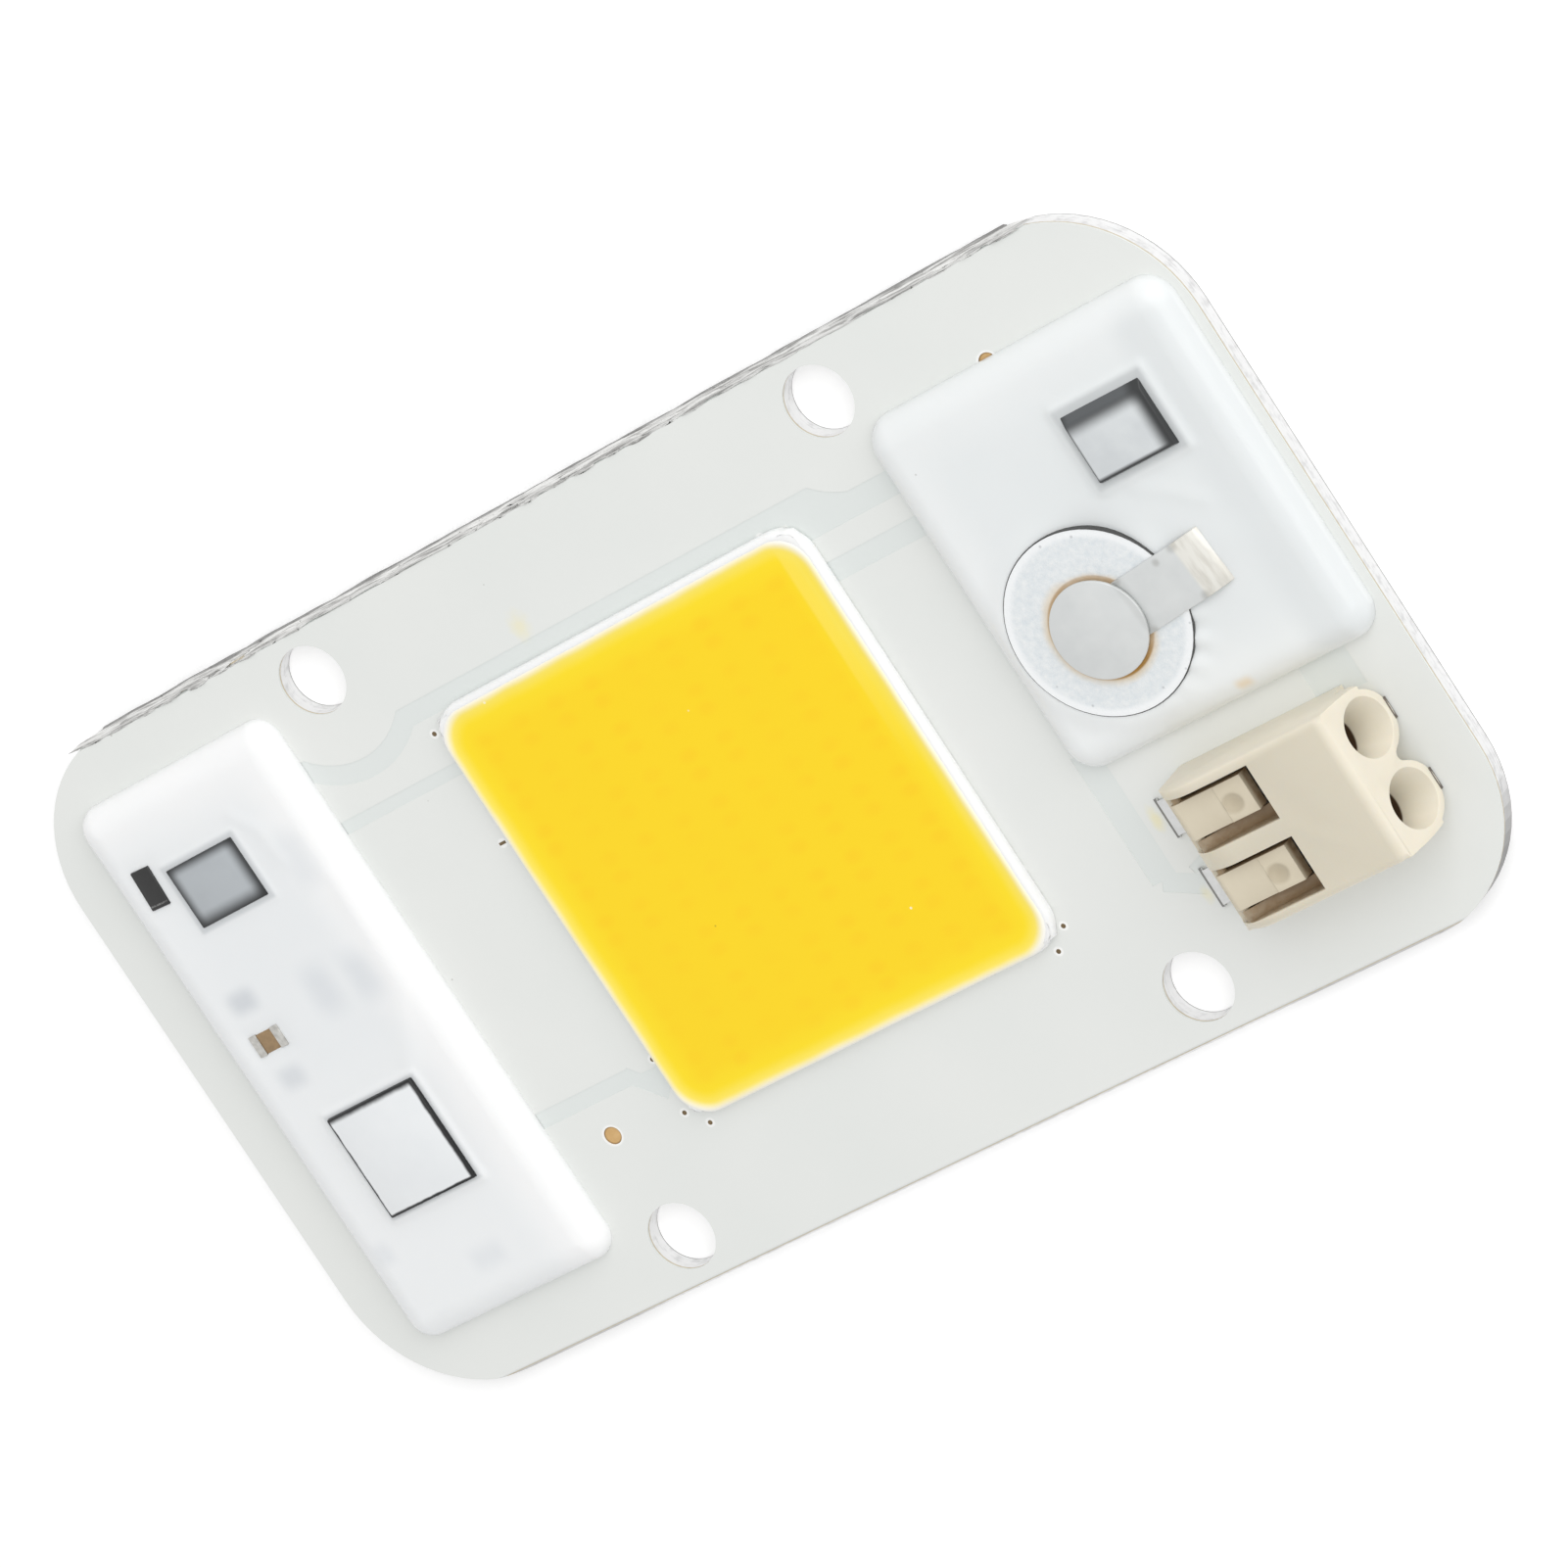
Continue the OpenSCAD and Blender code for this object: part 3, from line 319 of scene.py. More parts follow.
# Place, size and depth of each flux stain.
STAINS = [
    ((-4.65, 14.5), (0.75, 1.0), 0.55),
    ((20.3, -8.7), (0.45, 0.8), 0.7),
    ((20.4, -13.1), (0.4, 0.7), 0.45),
]
DOTS = [
    (-12.63, 11.75), (-12.5, -8.17), (-12.67, -11.38), (-11.67, -12.42), (11.46, -12.42),
    (12.5, -11.38), (12.29, -7.96), (10.07, 12.6),
]
DASH_AT = (-12.84, 5.22)
# Place and reach of each pale lip.
LIPS = [(spot, 0.32) for spot in DOTS + [DASH_AT]] + [(spot, 0.66) for spot in TEST_DOTS]
LIP_WIDTH = 0.12


def specks(add, place, crowd, size, depth):
    """Dust: round specks, crowded as given per millimetre, that fade in from an outer to an inner
    share of their spacing."""
    away = add("TexVoronoi", {"Vector": place, "Scale": crowd}, out="Distance")
    return add("MapRange", {"Value": away, "From Min": size[0], "From Max": size[1], "To Max": depth})


def soft_spot(add, place, spot, outer, inner, depth=1.0, size=(1.0, 1.0)):
    """A round spot that fades in from an outer to an inner reach, in millimetres or shares of a size."""
    reach = plan_reach(add, place, spot, size)
    return add("MapRange", {
        "Value": reach, "From Min": outer, "From Max": inner, "To Max": depth},
        interpolation_type="SMOOTHSTEP")


# White mask: satin, very slightly green-grey, cooler in the gaps, with a fine orange-peel skin
# half a millimetre across and the odd speck of dust.
white_mask, add, place = begin_finish("white_solder_mask")
height = add("SeparateXYZ", {0: place}, out="Z")
gap = add("MapRange", {
    "Value": height, "From Min": BOARD_TOP - 0.008, "From Max": BOARD_TOP - 0.022, "To Max": 0.36})
cloud = add("TexNoise", {"Vector": place, "Scale": 0.12, "Detail": 3.0})
layers = [(cloud, "#EBECE9"), (gap, "#D6DFDE")]
for spot, size in LIPS:
    layers.append((soft_spot(add, place, spot, size, size - LIP_WIDTH, 0.85), "#FBFBF9"))
blotch = add("TexNoise", {"Vector": place, "Scale": 1.3, "Detail": 3.0})
for spot, size, depth in STAINS:
    reach = plan_reach(add, place, spot, size)
    ragged = add("Math", {0: reach, 1: blotch}, operation="ADD")
    stain = add("MapRange", {
        "Value": ragged, "From Min": 1.6, "From Max": 0.7, "To Max": depth},
        interpolation_type="SMOOTHSTEP")
    layers.append((stain, "#F0E8BC"))
layers.append((specks(add, place, 0.30, (0.022, 0.012), 0.45), "#8A857C"))
peel = add("TexNoise", {"Vector": place, "Scale": 2.0, "Detail": 2.0})
end_finish(add, "#E3E6E3", layers, {"Roughness": 0.42, "IOR": 1.5}, peel, (0.15, 0.02))
dress("solder_mask", white_mask)

# Alignment dots
# Pin-prick openings in the mask round the emitter that a placing machine looks for. Each is a
# tiny dished dot of brown lacquered copper, and one is a short dash.

DOT_RADIUS = 0.13
DOT_THICK = 0.02
DOT_RIM = 0.03
DOT_DISH = 0.006
DASH_SIZE = (0.42, 0.16)

# Brown copper: dark, dulled by its lacquer, with a weak metal shine.
brown_copper = mottled_finish(
    "lacquered_brown_copper", ("#4E4332", "#8A7350"), 6.0, 2.0, {"Metallic": 0.4, "Roughness": 0.5})


def place_copies(pattern, spots, name):
    """Copies a pattern piece to each spot in millimetres, each with its own mesh, and joins them."""
    copies = []
    for x, y in spots:
        copy = pattern.copy()
        copy.data = pattern.data.copy()
        copy.data.transform(Matrix.Translation((x * MM, y * MM, 0)))
        bpy.context.collection.objects.link(copy)
        copies.append(copy)
    pick(*copies)
    bpy.ops.object.join()
    joined = bpy.context.object
    joined.name = joined.data.name = name
    bpy.data.objects.remove(pattern)
    return joined


def round_edges(piece, radius, segments=2, sharp=30):
    """Rounds those edges of a piece that turn by more than an angle."""
    apply_modifier(
        piece, "BEVEL", width=radius * MM, segments=segments, limit_method="ANGLE",
        angle_limit=math.radians(sharp))


dot = new_piece(
    "dot", bpy.ops.mesh.primitive_cylinder_add, vertices=16, radius=DOT_RADIUS * MM, depth=DOT_THICK * MM,
    location=(0, 0, BOARD_TOP * MM))
bpy.ops.object.mode_set(mode="EDIT")
bpy.ops.mesh.select_all(action="DESELECT")
bpy.ops.object.mode_set(mode="OBJECT")
for face in dot.data.polygons:
    face.select = face.normal.z > 0.9
bpy.ops.object.mode_set(mode="EDIT")
bpy.ops.mesh.inset(thickness=DOT_RIM * MM, depth=-DOT_DISH * MM)
bpy.ops.object.mode_set(mode="OBJECT")
dots = place_copies(dot, DOTS, "alignment_dots")
finish_piece(dots, brown_copper)

dash = new_piece(
    "alignment_dash", bpy.ops.mesh.primitive_cube_add, size=1.0,
    location=(DASH_AT[0] * MM, DASH_AT[1] * MM, BOARD_TOP * MM),
    scale=(DASH_SIZE[0] * MM, DASH_SIZE[1] * MM, DOT_THICK * MM))
round_edges(dash, DOT_DISH)
finish_piece(dash, brown_copper)

# Solder
# Tin-silver solder under every soldered piece, reflowed in the mask's openings. It shows as small
# bright fillets that climb the rear ends of the terminal's tabs.

TAB_END = 21.0
TAB_WIDTH = 2.0
POLES = (-8.855, -12.905)
FILLET_LONG = 0.3
FILLET_WIDE = TAB_WIDTH + 0.24
FILLET_HIGH = 0.2
FILLET_BACK = 0.09
FILLET_TOE = 0.03
FILLET_ROUND = 0.05
RESIDUE = 0.03

# Reflowed tin: bright, frosted in patches, with a dark line of flux residue along the tabs' ends.
tin_solder, add, place = begin_finish("reflowed_tin_solder")
frost = add("TexNoise", {"Vector": place, "Scale": 5.0, "Detail": 4.0})
along = add("SeparateXYZ", {0: place}, out="X")
residue = add("MapRange", {
    "Value": along, "From Min": TAB_END + RESIDUE, "From Max": TAB_END - RESIDUE, "To Max": 0.75})
behind = add("Math", {0: along, 1: TAB_END - 0.5}, operation="GREATER_THAN")
residue = add("Math", {0: residue, 1: behind}, operation="MULTIPLY")
end_finish(
    add, "#B4B5B4", [(frost, "#DCDDDB"), (residue, "#605D5A")], {"Metallic": 1.0, "Roughness": 0.28},
    frost, (0.4, 0.03))
dress("solder_pads", tin_solder)

for number, y in enumerate(POLES, 1):
    fillet = new_piece(
        f"tab_solder_{number}", bpy.ops.mesh.primitive_cube_add, size=1.0,
        location=((TAB_END - FILLET_BACK) * MM, y * MM, (BOARD_TOP + FILLET_HIGH / 2) * MM),
        scale=(FILLET_LONG * MM, FILLET_WIDE * MM, FILLET_HIGH * MM))
    points = read_points(fillet)
    toe = (points[:, 0] < TAB_END) & (points[:, 2] > BOARD_TOP + FILLET_HIGH / 2)
    points[toe, 2] = BOARD_TOP + FILLET_TOE
    write_points(fillet, points)
    round_edges(fillet, FILLET_ROUND, segments=3)
    apply_modifier(fillet, "SUBSURF", levels=1, render_levels=1)
    finish_piece(fillet, tin_solder, smooth=60)

# LED dies
# Gallium nitride flip chips on sapphire, soldered face down in pairs of rows. They lie under the
# phosphor and only shade it.

# Nitride on sapphire: glassy, and yellow from the phosphor round it.
die_sapphire = mottled_finish(
    "gallium_nitride_on_sapphire", ("#B8A24A", "#D2C07A"), 1.5, 2.0, {"Roughness": 0.2, "IOR": 1.77})
dress("led_dies", die_sapphire)

# Emitter dam
# A bead of white silicone, drawn round the dies by a dispensing needle and cured, which holds
# the phosphor while it is liquid. It wets the board, so its foot leans outwards.

EMITTER = (0.2, 0.4)
DAM_OUT = 25.0
DAM_CORNER = 1.9
DAM_WIDTH = 1.0
DAM_HEIGHT = 0.7
DAM_ROUND = 0.48
DAM_LEAN = 0.14
LEAN_HEIGHT = 0.27

# White silicone: clean white, glossy and a little see-through, so that light spreads in it.
dam_silicone, add, place = begin_finish("dispensed_white_silicone")
ripple = add("TexNoise", {"Vector": place, "Scale": 0.7, "Detail": 2.0})
end_finish(add, "#FBFBFA", [], {
    "Roughness": 0.25, "IOR": 1.41, "Subsurface Weight": 0.35, "Subsurface Radius": (1.0, 0.95, 0.9),
    "Subsurface Scale": 0.6 * MM}, ripple, (0.4, 0.06))


def open_up():
    """Puts the active piece in edit mode with all of it selected."""
    bpy.ops.object.mode_set(mode="EDIT")
    bpy.ops.mesh.select_all(action="SELECT")


def close_up():
    """Turns all faces of the piece that is in edit mode outwards, and leaves edit mode."""
    bpy.ops.mesh.select_all(action="SELECT")
    bpy.ops.mesh.normals_make_consistent(inside=False)
    bpy.ops.object.mode_set(mode="OBJECT")


dam = new_piece(
    "dispensed_dam", bpy.ops.mesh.primitive_plane_add, size=DAM_OUT * MM,
    location=(EMITTER[0] * MM, EMITTER[1] * MM, BOARD_TOP * MM))
open_up()
bpy.ops.mesh.bevel(offset=DAM_CORNER * MM, segments=8, affect="VERTICES")
bpy.ops.mesh.select_all(action="SELECT")
bpy.ops.mesh.inset(thickness=DAM_WIDTH * MM)
bpy.ops.mesh.delete(type="ONLY_FACE")
bpy.ops.mesh.select_all(action="SELECT")
bpy.ops.mesh.extrude_region_move(TRANSFORM_OT_translate={"value": (0, 0, DAM_HEIGHT * MM)})
close_up()
round_edges(dam, DAM_ROUND, segments=6, sharp=60)
points = read_points(dam)
away = points[:, :2] - EMITTER
outer = np.abs(away).max(axis=1) > DAM_OUT / 2 - DAM_WIDTH / 2
lean = DAM_LEAN * np.clip((points[:, 2] - BOARD_TOP) / LEAN_HEIGHT, 0, 1) * outer
points[:, :2] -= lean[:, None] * np.sign(away) * (np.abs(away) > DAM_OUT / 2 - DAM_CORNER)
write_points(dam, points)
finish_piece(dam, dam_silicone, smooth=70)
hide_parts("emitter_dam")

# Phosphor
# Yellow phosphor powder in clear silicone, poured over the dies up to the crest of the dam. It
# wets the dam, so its edge thins out to white, and the dies show through as faint amber spots.

PHOSPHOR = (0.12, 0.29)
PHOSPHOR_OUT = 24.5
PHOSPHOR_CORNER = 1.9
PHOSPHOR_HEIGHT = 0.68
# Height and width of the climb and of the fall at its edge.
PHOSPHOR_CLIMB = (0.10, 0.5)
PHOSPHOR_FALL = (0.38, 0.34)
PHOSPHOR_SWELL = 0.012
PHOSPHOR_WAVES = (9.0, 6.1, 4.3)
PHOSPHOR_CELLS = (150, 150)
EVEN_CELLS = 0.4
# Where its three paler tints begin and are full, outwards of its edge.
PALE_FADE = (-3.2, -0.5)
CREAM_FADE = (-1.21, -0.26)
WHITE_FADE = (-0.58, 0.02)
# A paler strip near the +X side: its line in X, its reach from that line, and where it fades in along Y.
PALE_STRIP_LINE = 11.15
PALE_STRIP_REACH = (0.56, 0.30)
PALE_STRIP_FADE = (-1.0, 7.0)
DIE_CENTRE = (0.0, 0.19)
DIE_SPOT = (0.55, 0.36)
COLUMN_PITCH = 2.4525
PAIR_PITCH = 2.757
ROW_PITCH = 1.08


def square_depth(add, place, centre, half, corner):
    """How far a point lies outside a rounded square, in millimetres."""
    away = from_spot(add, place, centre)
    away = add("VectorMath", {0: away}, operation="ABSOLUTE")
    flat = half - corner
    away = add("VectorMath", {0: away, 1: (flat, flat, 0.0)}, operation="SUBTRACT")
    away = add("VectorMath", {0: away, 1: (0.0, 0.0, 0.0)}, operation="MAXIMUM")
    reach = add("VectorMath", {0: away}, out="Value", operation="LENGTH")
    return add("Math", {0: reach, 1: corner}, operation="SUBTRACT")


# Yellow phosphor: strong, warm and satin, a lighter yellow near the dam, cream and then white over
# its last millimetre where it is thin, with a paler strip along one side and a little dust.
phosphor_silicone, add, place = begin_finish("yellow_phosphor_silicone")
outside = square_depth(add, place, PHOSPHOR, PHOSPHOR_OUT / 2, PHOSPHOR_CORNER + 0.4)
drift = add("TexNoise", {"Vector": place, "Scale": 0.35, "Detail": 2.0})
sway = add("MapRange", {"Value": drift, "To Min": -0.10, "To Max": 0.10})
edge = add("Math", {0: outside, 1: sway}, operation="ADD")
pale, cream, white = [
    add("MapRange", {
        "Value": edge, "From Min": fade[0], "From Max": fade[1]}, interpolation_type="SMOOTHSTEP")
    for fade in (PALE_FADE, CREAM_FADE, WHITE_FADE)]
spot = add("VectorMath", {
    0: place, 1: (DIE_CENTRE[0], DIE_CENTRE[1] + PAIR_PITCH / 2, 0.0)}, operation="SUBTRACT")
split = add("SeparateXYZ", {0: spot}).node.outputs
from_column = add("Math", {0: split["X"], 1: -COLUMN_PITCH / 2, 2: COLUMN_PITCH / 2}, operation="WRAP")
from_pair = add("Math", {0: split["Y"], 1: -PAIR_PITCH / 2, 2: PAIR_PITCH / 2}, operation="WRAP")
from_pair = add("Math", {0: from_pair}, operation="ABSOLUTE")
from_row = add("Math", {0: from_pair, 1: ROW_PITCH / 2}, operation="SUBTRACT")
across = add("CombineXYZ", {"X": from_column, "Y": from_row})
die_shade = soft_spot(add, across, (0.0, 0.0), 1.6, 0.3, size=DIE_SPOT)
patchy = add("TexNoise", {"Vector": place, "Scale": 0.3, "Detail": 2.0})
patchy = add("MapRange", {
    "Value": patchy, "From Min": 0.35, "From Max": 0.7, "To Min": 0.06, "To Max": 0.26})
inner = add("MapRange", {"Value": outside, "From Min": -0.9, "From Max": -1.5})
shade = add("Math", {0: die_shade, 1: patchy}, operation="MULTIPLY")
shade = add("Math", {0: shade, 1: inner}, operation="MULTIPLY")
split = add("SeparateXYZ", {0: place}).node.outputs
pale_strip = add("Math", {0: split["X"], 1: PALE_STRIP_LINE}, operation="SUBTRACT")
pale_strip = add("Math", {0: pale_strip}, operation="ABSOLUTE")
pale_strip = add("MapRange", {
    "Value": pale_strip, "From Min": PALE_STRIP_REACH[0], "From Max": PALE_STRIP_REACH[1], "To Max": 0.34},
    interpolation_type="SMOOTHSTEP")
pale_strip_fade = add("MapRange", {"Value": split["Y"], "From Min": PALE_STRIP_FADE[0], "From Max": PALE_STRIP_FADE[1]})
pale_strip = add("Math", {0: pale_strip, 1: pale_strip_fade}, operation="MULTIPLY")
dust = specks(add, place, 0.22, (0.016, 0.009), 0.5)
lint = specks(add, spot, 0.27, (0.024, 0.014), 0.8)
skin = add("TexNoise", {"Vector": place, "Scale": 1.4, "Detail": 3.0})
end_finish(add, "#FFD60C", [
    (pale, "#FFE21C"), (shade, "#FFC40A"), (pale_strip, "#FFEB78"), (cream, "#FFE966"), (white, "#FDFBF4"),
    (dust, "#9A7A1E"), (lint, "#FFF9E2")], {"Roughness": 0.38, "IOR": 1.41}, skin, (0.15, 0.03))


def pour(name, centre, size, corner, cells, surface):
    """Makes a poured pad: a fine grid, finer at its edges, drawn to a rounded outline, given the
    liquid's surface in millimetres above the board, and closed down to the board."""
    pad = new_piece(
        name, bpy.ops.mesh.primitive_grid_add, x_subdivisions=cells[0], y_subdivisions=cells[1], size=2.0)
    points = read_points(pad) * MM
    half = np.array(size) / 2
    share = points[:, :2]
    offset = half * (EVEN_CELLS * share + (1 - EVEN_CELLS) * np.sin(share * math.pi / 2))
    past = np.maximum(np.abs(offset) - (half - corner), 0)
    reach = np.linalg.norm(past, axis=1)
    pull = np.where(reach > corner, corner / np.maximum(reach, corner), 1.0)
    offset = np.where(past > 0, np.sign(offset) * (half - corner + past * pull[:, None]), offset)
    inner = np.minimum(np.abs(offset) - (half - corner), 0).max(axis=1)
    depth = corner - np.minimum(reach, corner) - np.where(reach > 0, 0, inner)
    points[:, :2] = np.array(centre) + offset
    points[:, 2] = BOARD_TOP + surface(points[:, 0], points[:, 1], depth)
    write_points(pad, points)
    open_up()
    bpy.ops.mesh.region_to_loop()
    bpy.ops.mesh.extrude_region_move()
    bpy.ops.object.mode_set(mode="OBJECT")
    for vertex in pad.data.vertices:
        if vertex.select:
            vertex.co.z = BOARD_TOP * MM
    bpy.ops.object.mode_set(mode="EDIT")
    bpy.ops.mesh.edge_face_add()
    close_up()
    return pad


def phosphor_surface(x, y, depth):
    """Level in the middle, climbing a little where it wets the dam and falling off past its crest."""
    climb = PHOSPHOR_CLIMB[0] * np.exp(-(depth / PHOSPHOR_CLIMB[1]) ** 2)
    fall = PHOSPHOR_FALL[0] * (1 - np.sqrt(1 - np.clip(1 - depth / PHOSPHOR_FALL[1], 0, 1) ** 2))
    return PHOSPHOR_HEIGHT + climb - fall + PHOSPHOR_SWELL * swell(x, y, PHOSPHOR_WAVES, 0.6)


phosphor = pour(
    "phosphor_pour", PHOSPHOR, (PHOSPHOR_OUT, PHOSPHOR_OUT), PHOSPHOR_CORNER, PHOSPHOR_CELLS,
    phosphor_surface)
finish_piece(phosphor, phosphor_silicone, smooth=60)
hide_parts("phosphor_fill")

# Driver chip
# A small-outline package of black moulded epoxy on eight tinned legs. Its top stands just clear
# of the silicone and keeps a thin grey film of it, thicker towards the middle.

# Of this and each later soft box: low corner, high corner, fades at the -X, +X, -Y and +Y sides, and
# its depth where that is not one.
DRIVER_FILM = ((-30.50, 8.70), (-25.66, 12.40), (0.75, 0.95, 1.0, 0.70))
PACKAGE_ROUND = 0.06


def soft_box(add, place, low, high, fades, depth=1.0):
    """A rectangle that fades in, from none to its depth, over a distance at each side."""
    split = add("SeparateXYZ", {0: place}).node.outputs
    cover = depth
    for axis in (0, 1):
        for edge, way, fade in ((low[axis], 1, fades[2 * axis]), (high[axis], -1, fades[2 * axis + 1])):
            rise = add("MapRange", {
                "Value": split[axis], "From Min": edge, "From Max": edge + way * fade},
                interpolation_type="SMOOTHSTEP")
            cover = add("Math", {0: cover, 1: rise}, operation="MULTIPLY")
    return cover


def merged_copy(node):
    """Copies a CAD node and merges its loose triangles into whole faces."""
    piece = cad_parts[node].copy()
    piece.data = piece.data.copy()
    piece.parent = None
    piece.name = piece.data.name = node + "_moulded"
    bpy.context.collection.objects.link(piece)
    pick(piece)
    open_up()
    bpy.ops.mesh.remove_doubles(threshold=0.001 * MM)
    bpy.ops.mesh.dissolve_limited(angle_limit=math.radians(0.5))
    bpy.ops.object.mode_set(mode="OBJECT")
    return piece


def rounded_copy(node, radius, segments=2, sharp=25):
    """Copies a CAD node and rounds its edges."""
    piece = merged_copy(node)
    round_edges(piece, radius, segments, sharp)
    return piece


# Thin silicone over black epoxy: pale grey in the middle where the film is thick, and dark where it
# runs out towards the edges.
driver_finish, add, place = begin_finish("black_epoxy_under_silicone_film")
smear = add("TexNoise", {"Vector": place, "Scale": 0.6, "Detail": 2.0})
smear = add("MapRange", {"Value": smear, "To Min": 0.9, "To Max": 1.1})
film = soft_box(add, place, *DRIVER_FILM, smear)
end_finish(add, "#232425", [(film, "#B4B9BD")], {"Roughness": 0.3, "IOR": 1.41})

driver = rounded_copy("driver_body", PACKAGE_ROUND)
finish_piece(driver, driver_finish)
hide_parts("driver_body")

# Tin-plated copper leads: dull, lightly clouded.
tinned_lead = mottled_finish(
    "tin_plated_lead", ("#B9BAB8", "#D9DAD8"), 3.0, 3.0, {"Metallic": 1.0, "Roughness": 0.3}, (0.3, 0.02))
dress("driver_leads", tinned_lead)

# Regulator
# A square power package, black epoxy on a tinned heat tab and two legs. The silicone was poured
# over it and sank, which left a white skin on its top and its edges bare.

REGULATOR_SKIN = ((-30.48, -9.05), (-24.70, -3.10), (0.08, 0.20, 0.10, 0.34))
SKIN_RAGGED = 0.12

# Silicone skin over black epoxy: white, with a ragged grey edge that runs out to bare black.
regulator_finish, add, place = begin_finish("black_epoxy_under_silicone_skin")
ragged = add("TexNoise", {"Vector": place, "Scale": 1.6, "Detail": 3.0}, out="Color")
ragged = add("VectorMath", {0: ragged, 1: (0.5, 0.5, 0.5)}, operation="SUBTRACT")
ragged = add("VectorMath", {
    0: ragged, 1: (SKIN_RAGGED, SKIN_RAGGED, 0.0), 2: place}, operation="MULTIPLY_ADD")
skin = soft_box(add, ragged, *REGULATOR_SKIN)
wisp = add("TexNoise", {"Vector": place, "Scale": 0.5, "Detail": 3.0})
skin_colour = blend(add, "#E7EAEC", [(wisp, "#F0F2F3")])
end_finish(add, "#1E1F20", [(skin, skin_colour)], {"Roughness": 0.25, "IOR": 1.41})

regulator = rounded_copy("regulator_body", PACKAGE_ROUND)
finish_piece(regulator, regulator_finish)
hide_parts("regulator_body")
dress("regulator_leads", tinned_lead)

# Diode
# A small moulded diode, black epoxy with a pale band at its cathode end. It stands flush with
# the silicone, which has crept over one corner.

DIODE = (-31.95, 11.9)
DIODE_TURN = 3
DIODE_BAND = ((-0.62, -0.98), (0.62, -0.86), (0.05, 0.05, 0.03, 0.03))
CHIP_ROUND = 0.05

# Moulded epoxy: nearly black and satin, finely scuffed, with a worn pale band across one end.
diode_finish, add, place = begin_finish("black_epoxy_with_cathode_band")
turned = add("Mapping", {"Vector": place, "Location": (-DIODE[0], -DIODE[1], 0.0)}, vector_type="POINT")
turned = add("Mapping", {
    "Vector": turned, "Rotation": (0.0, 0.0, math.radians(DIODE_TURN))}, vector_type="POINT")
scuffs_and_patchy_shade = add("TexNoise", {"Vector": place, "Scale": 5.0, "Detail": 3.0})
wear = add("MapRange", {"Value": scuffs_and_patchy_shade, "From Min": 0.40, "From Max": 0.6, "To Max": 0.3})
band = soft_box(add, turned, *DIODE_BAND, wear)
end_finish(
    add, "#0D0D0D", [(scuffs_and_patchy_shade, "#1D1D1D"), (band, "#C8C8C6")], {"Roughness": 0.42, "IOR": 1.55},
    scuffs_and_patchy_shade, (0.3, 0.02))

diode = rounded_copy("diode_body", CHIP_ROUND)
finish_piece(diode, diode_finish)
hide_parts("diode_body")
dress("diode_leads", tinned_lead)

# Ceramic capacitor
# A multilayer chip capacitor: a tan fired ceramic block with tinned metal cups baked on both
# ends. Its top is bare.

CUP_ROUND = 0.07

# Fired ceramic: tan and matt, finely mottled.
tan_ceramic = mottled_finish(
    "tan_fired_ceramic", ("#7E6748", "#A98C68"), 4.0, 4.0, {"Roughness": 0.45}, (0.3, 0.02))
capacitor = rounded_copy("capacitor_body", CHIP_ROUND)
finish_piece(capacitor, tan_ceramic)
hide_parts("capacitor_body")

# Baked tin: grainy, bright and grey in patches.
cup_tin = mottled_finish(
    "baked_tin_cup", ("#8F8C85", "#E4E3DF"), 3.5, 4.0, {"Metallic": 0.9, "Roughness": 0.3}, (0.6, 0.04))
cups = rounded_copy("capacitor_ends", CUP_ROUND, segments=3)
finish_piece(cups, cup_tin)
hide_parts("capacitor_ends")

# Chip resistors
# Five thick-film resistors, alumina chips with a dark glass top and tinned ends. They are buried
# and show only as grey shadows in the silicone.

# Glass over the film: dark grey, smooth and shiny.
thick_film = mottled_finish("thick_film_resistor", ("#2E3033", "#4A4D50"), 2.0, 2.0, {"Roughness": 0.3})
for number in range(1, 6):
    dress(f"chip_resistor_{number}", thick_film)

# Left silicone
# White silicone poured over the driver's parts and left to level. It has a wide, shiny, rolled
# edge, slow ridges where two pours met, and grey shadows over the buried chips.

LEFT = (-27.45, 0.35)
LEFT_SIZE = (13.75, 33.05)
LEFT_CORNER = 1.35
LEFT_CELLS = (150, 300)
LEFT_WAVES = (11.0, 7.3, 5.1)
POTTING_HEIGHT = 1.4
POTTING_SWELL = 0.015
# Width and drop.
EDGE_ROLL = (1.6, 1.25)
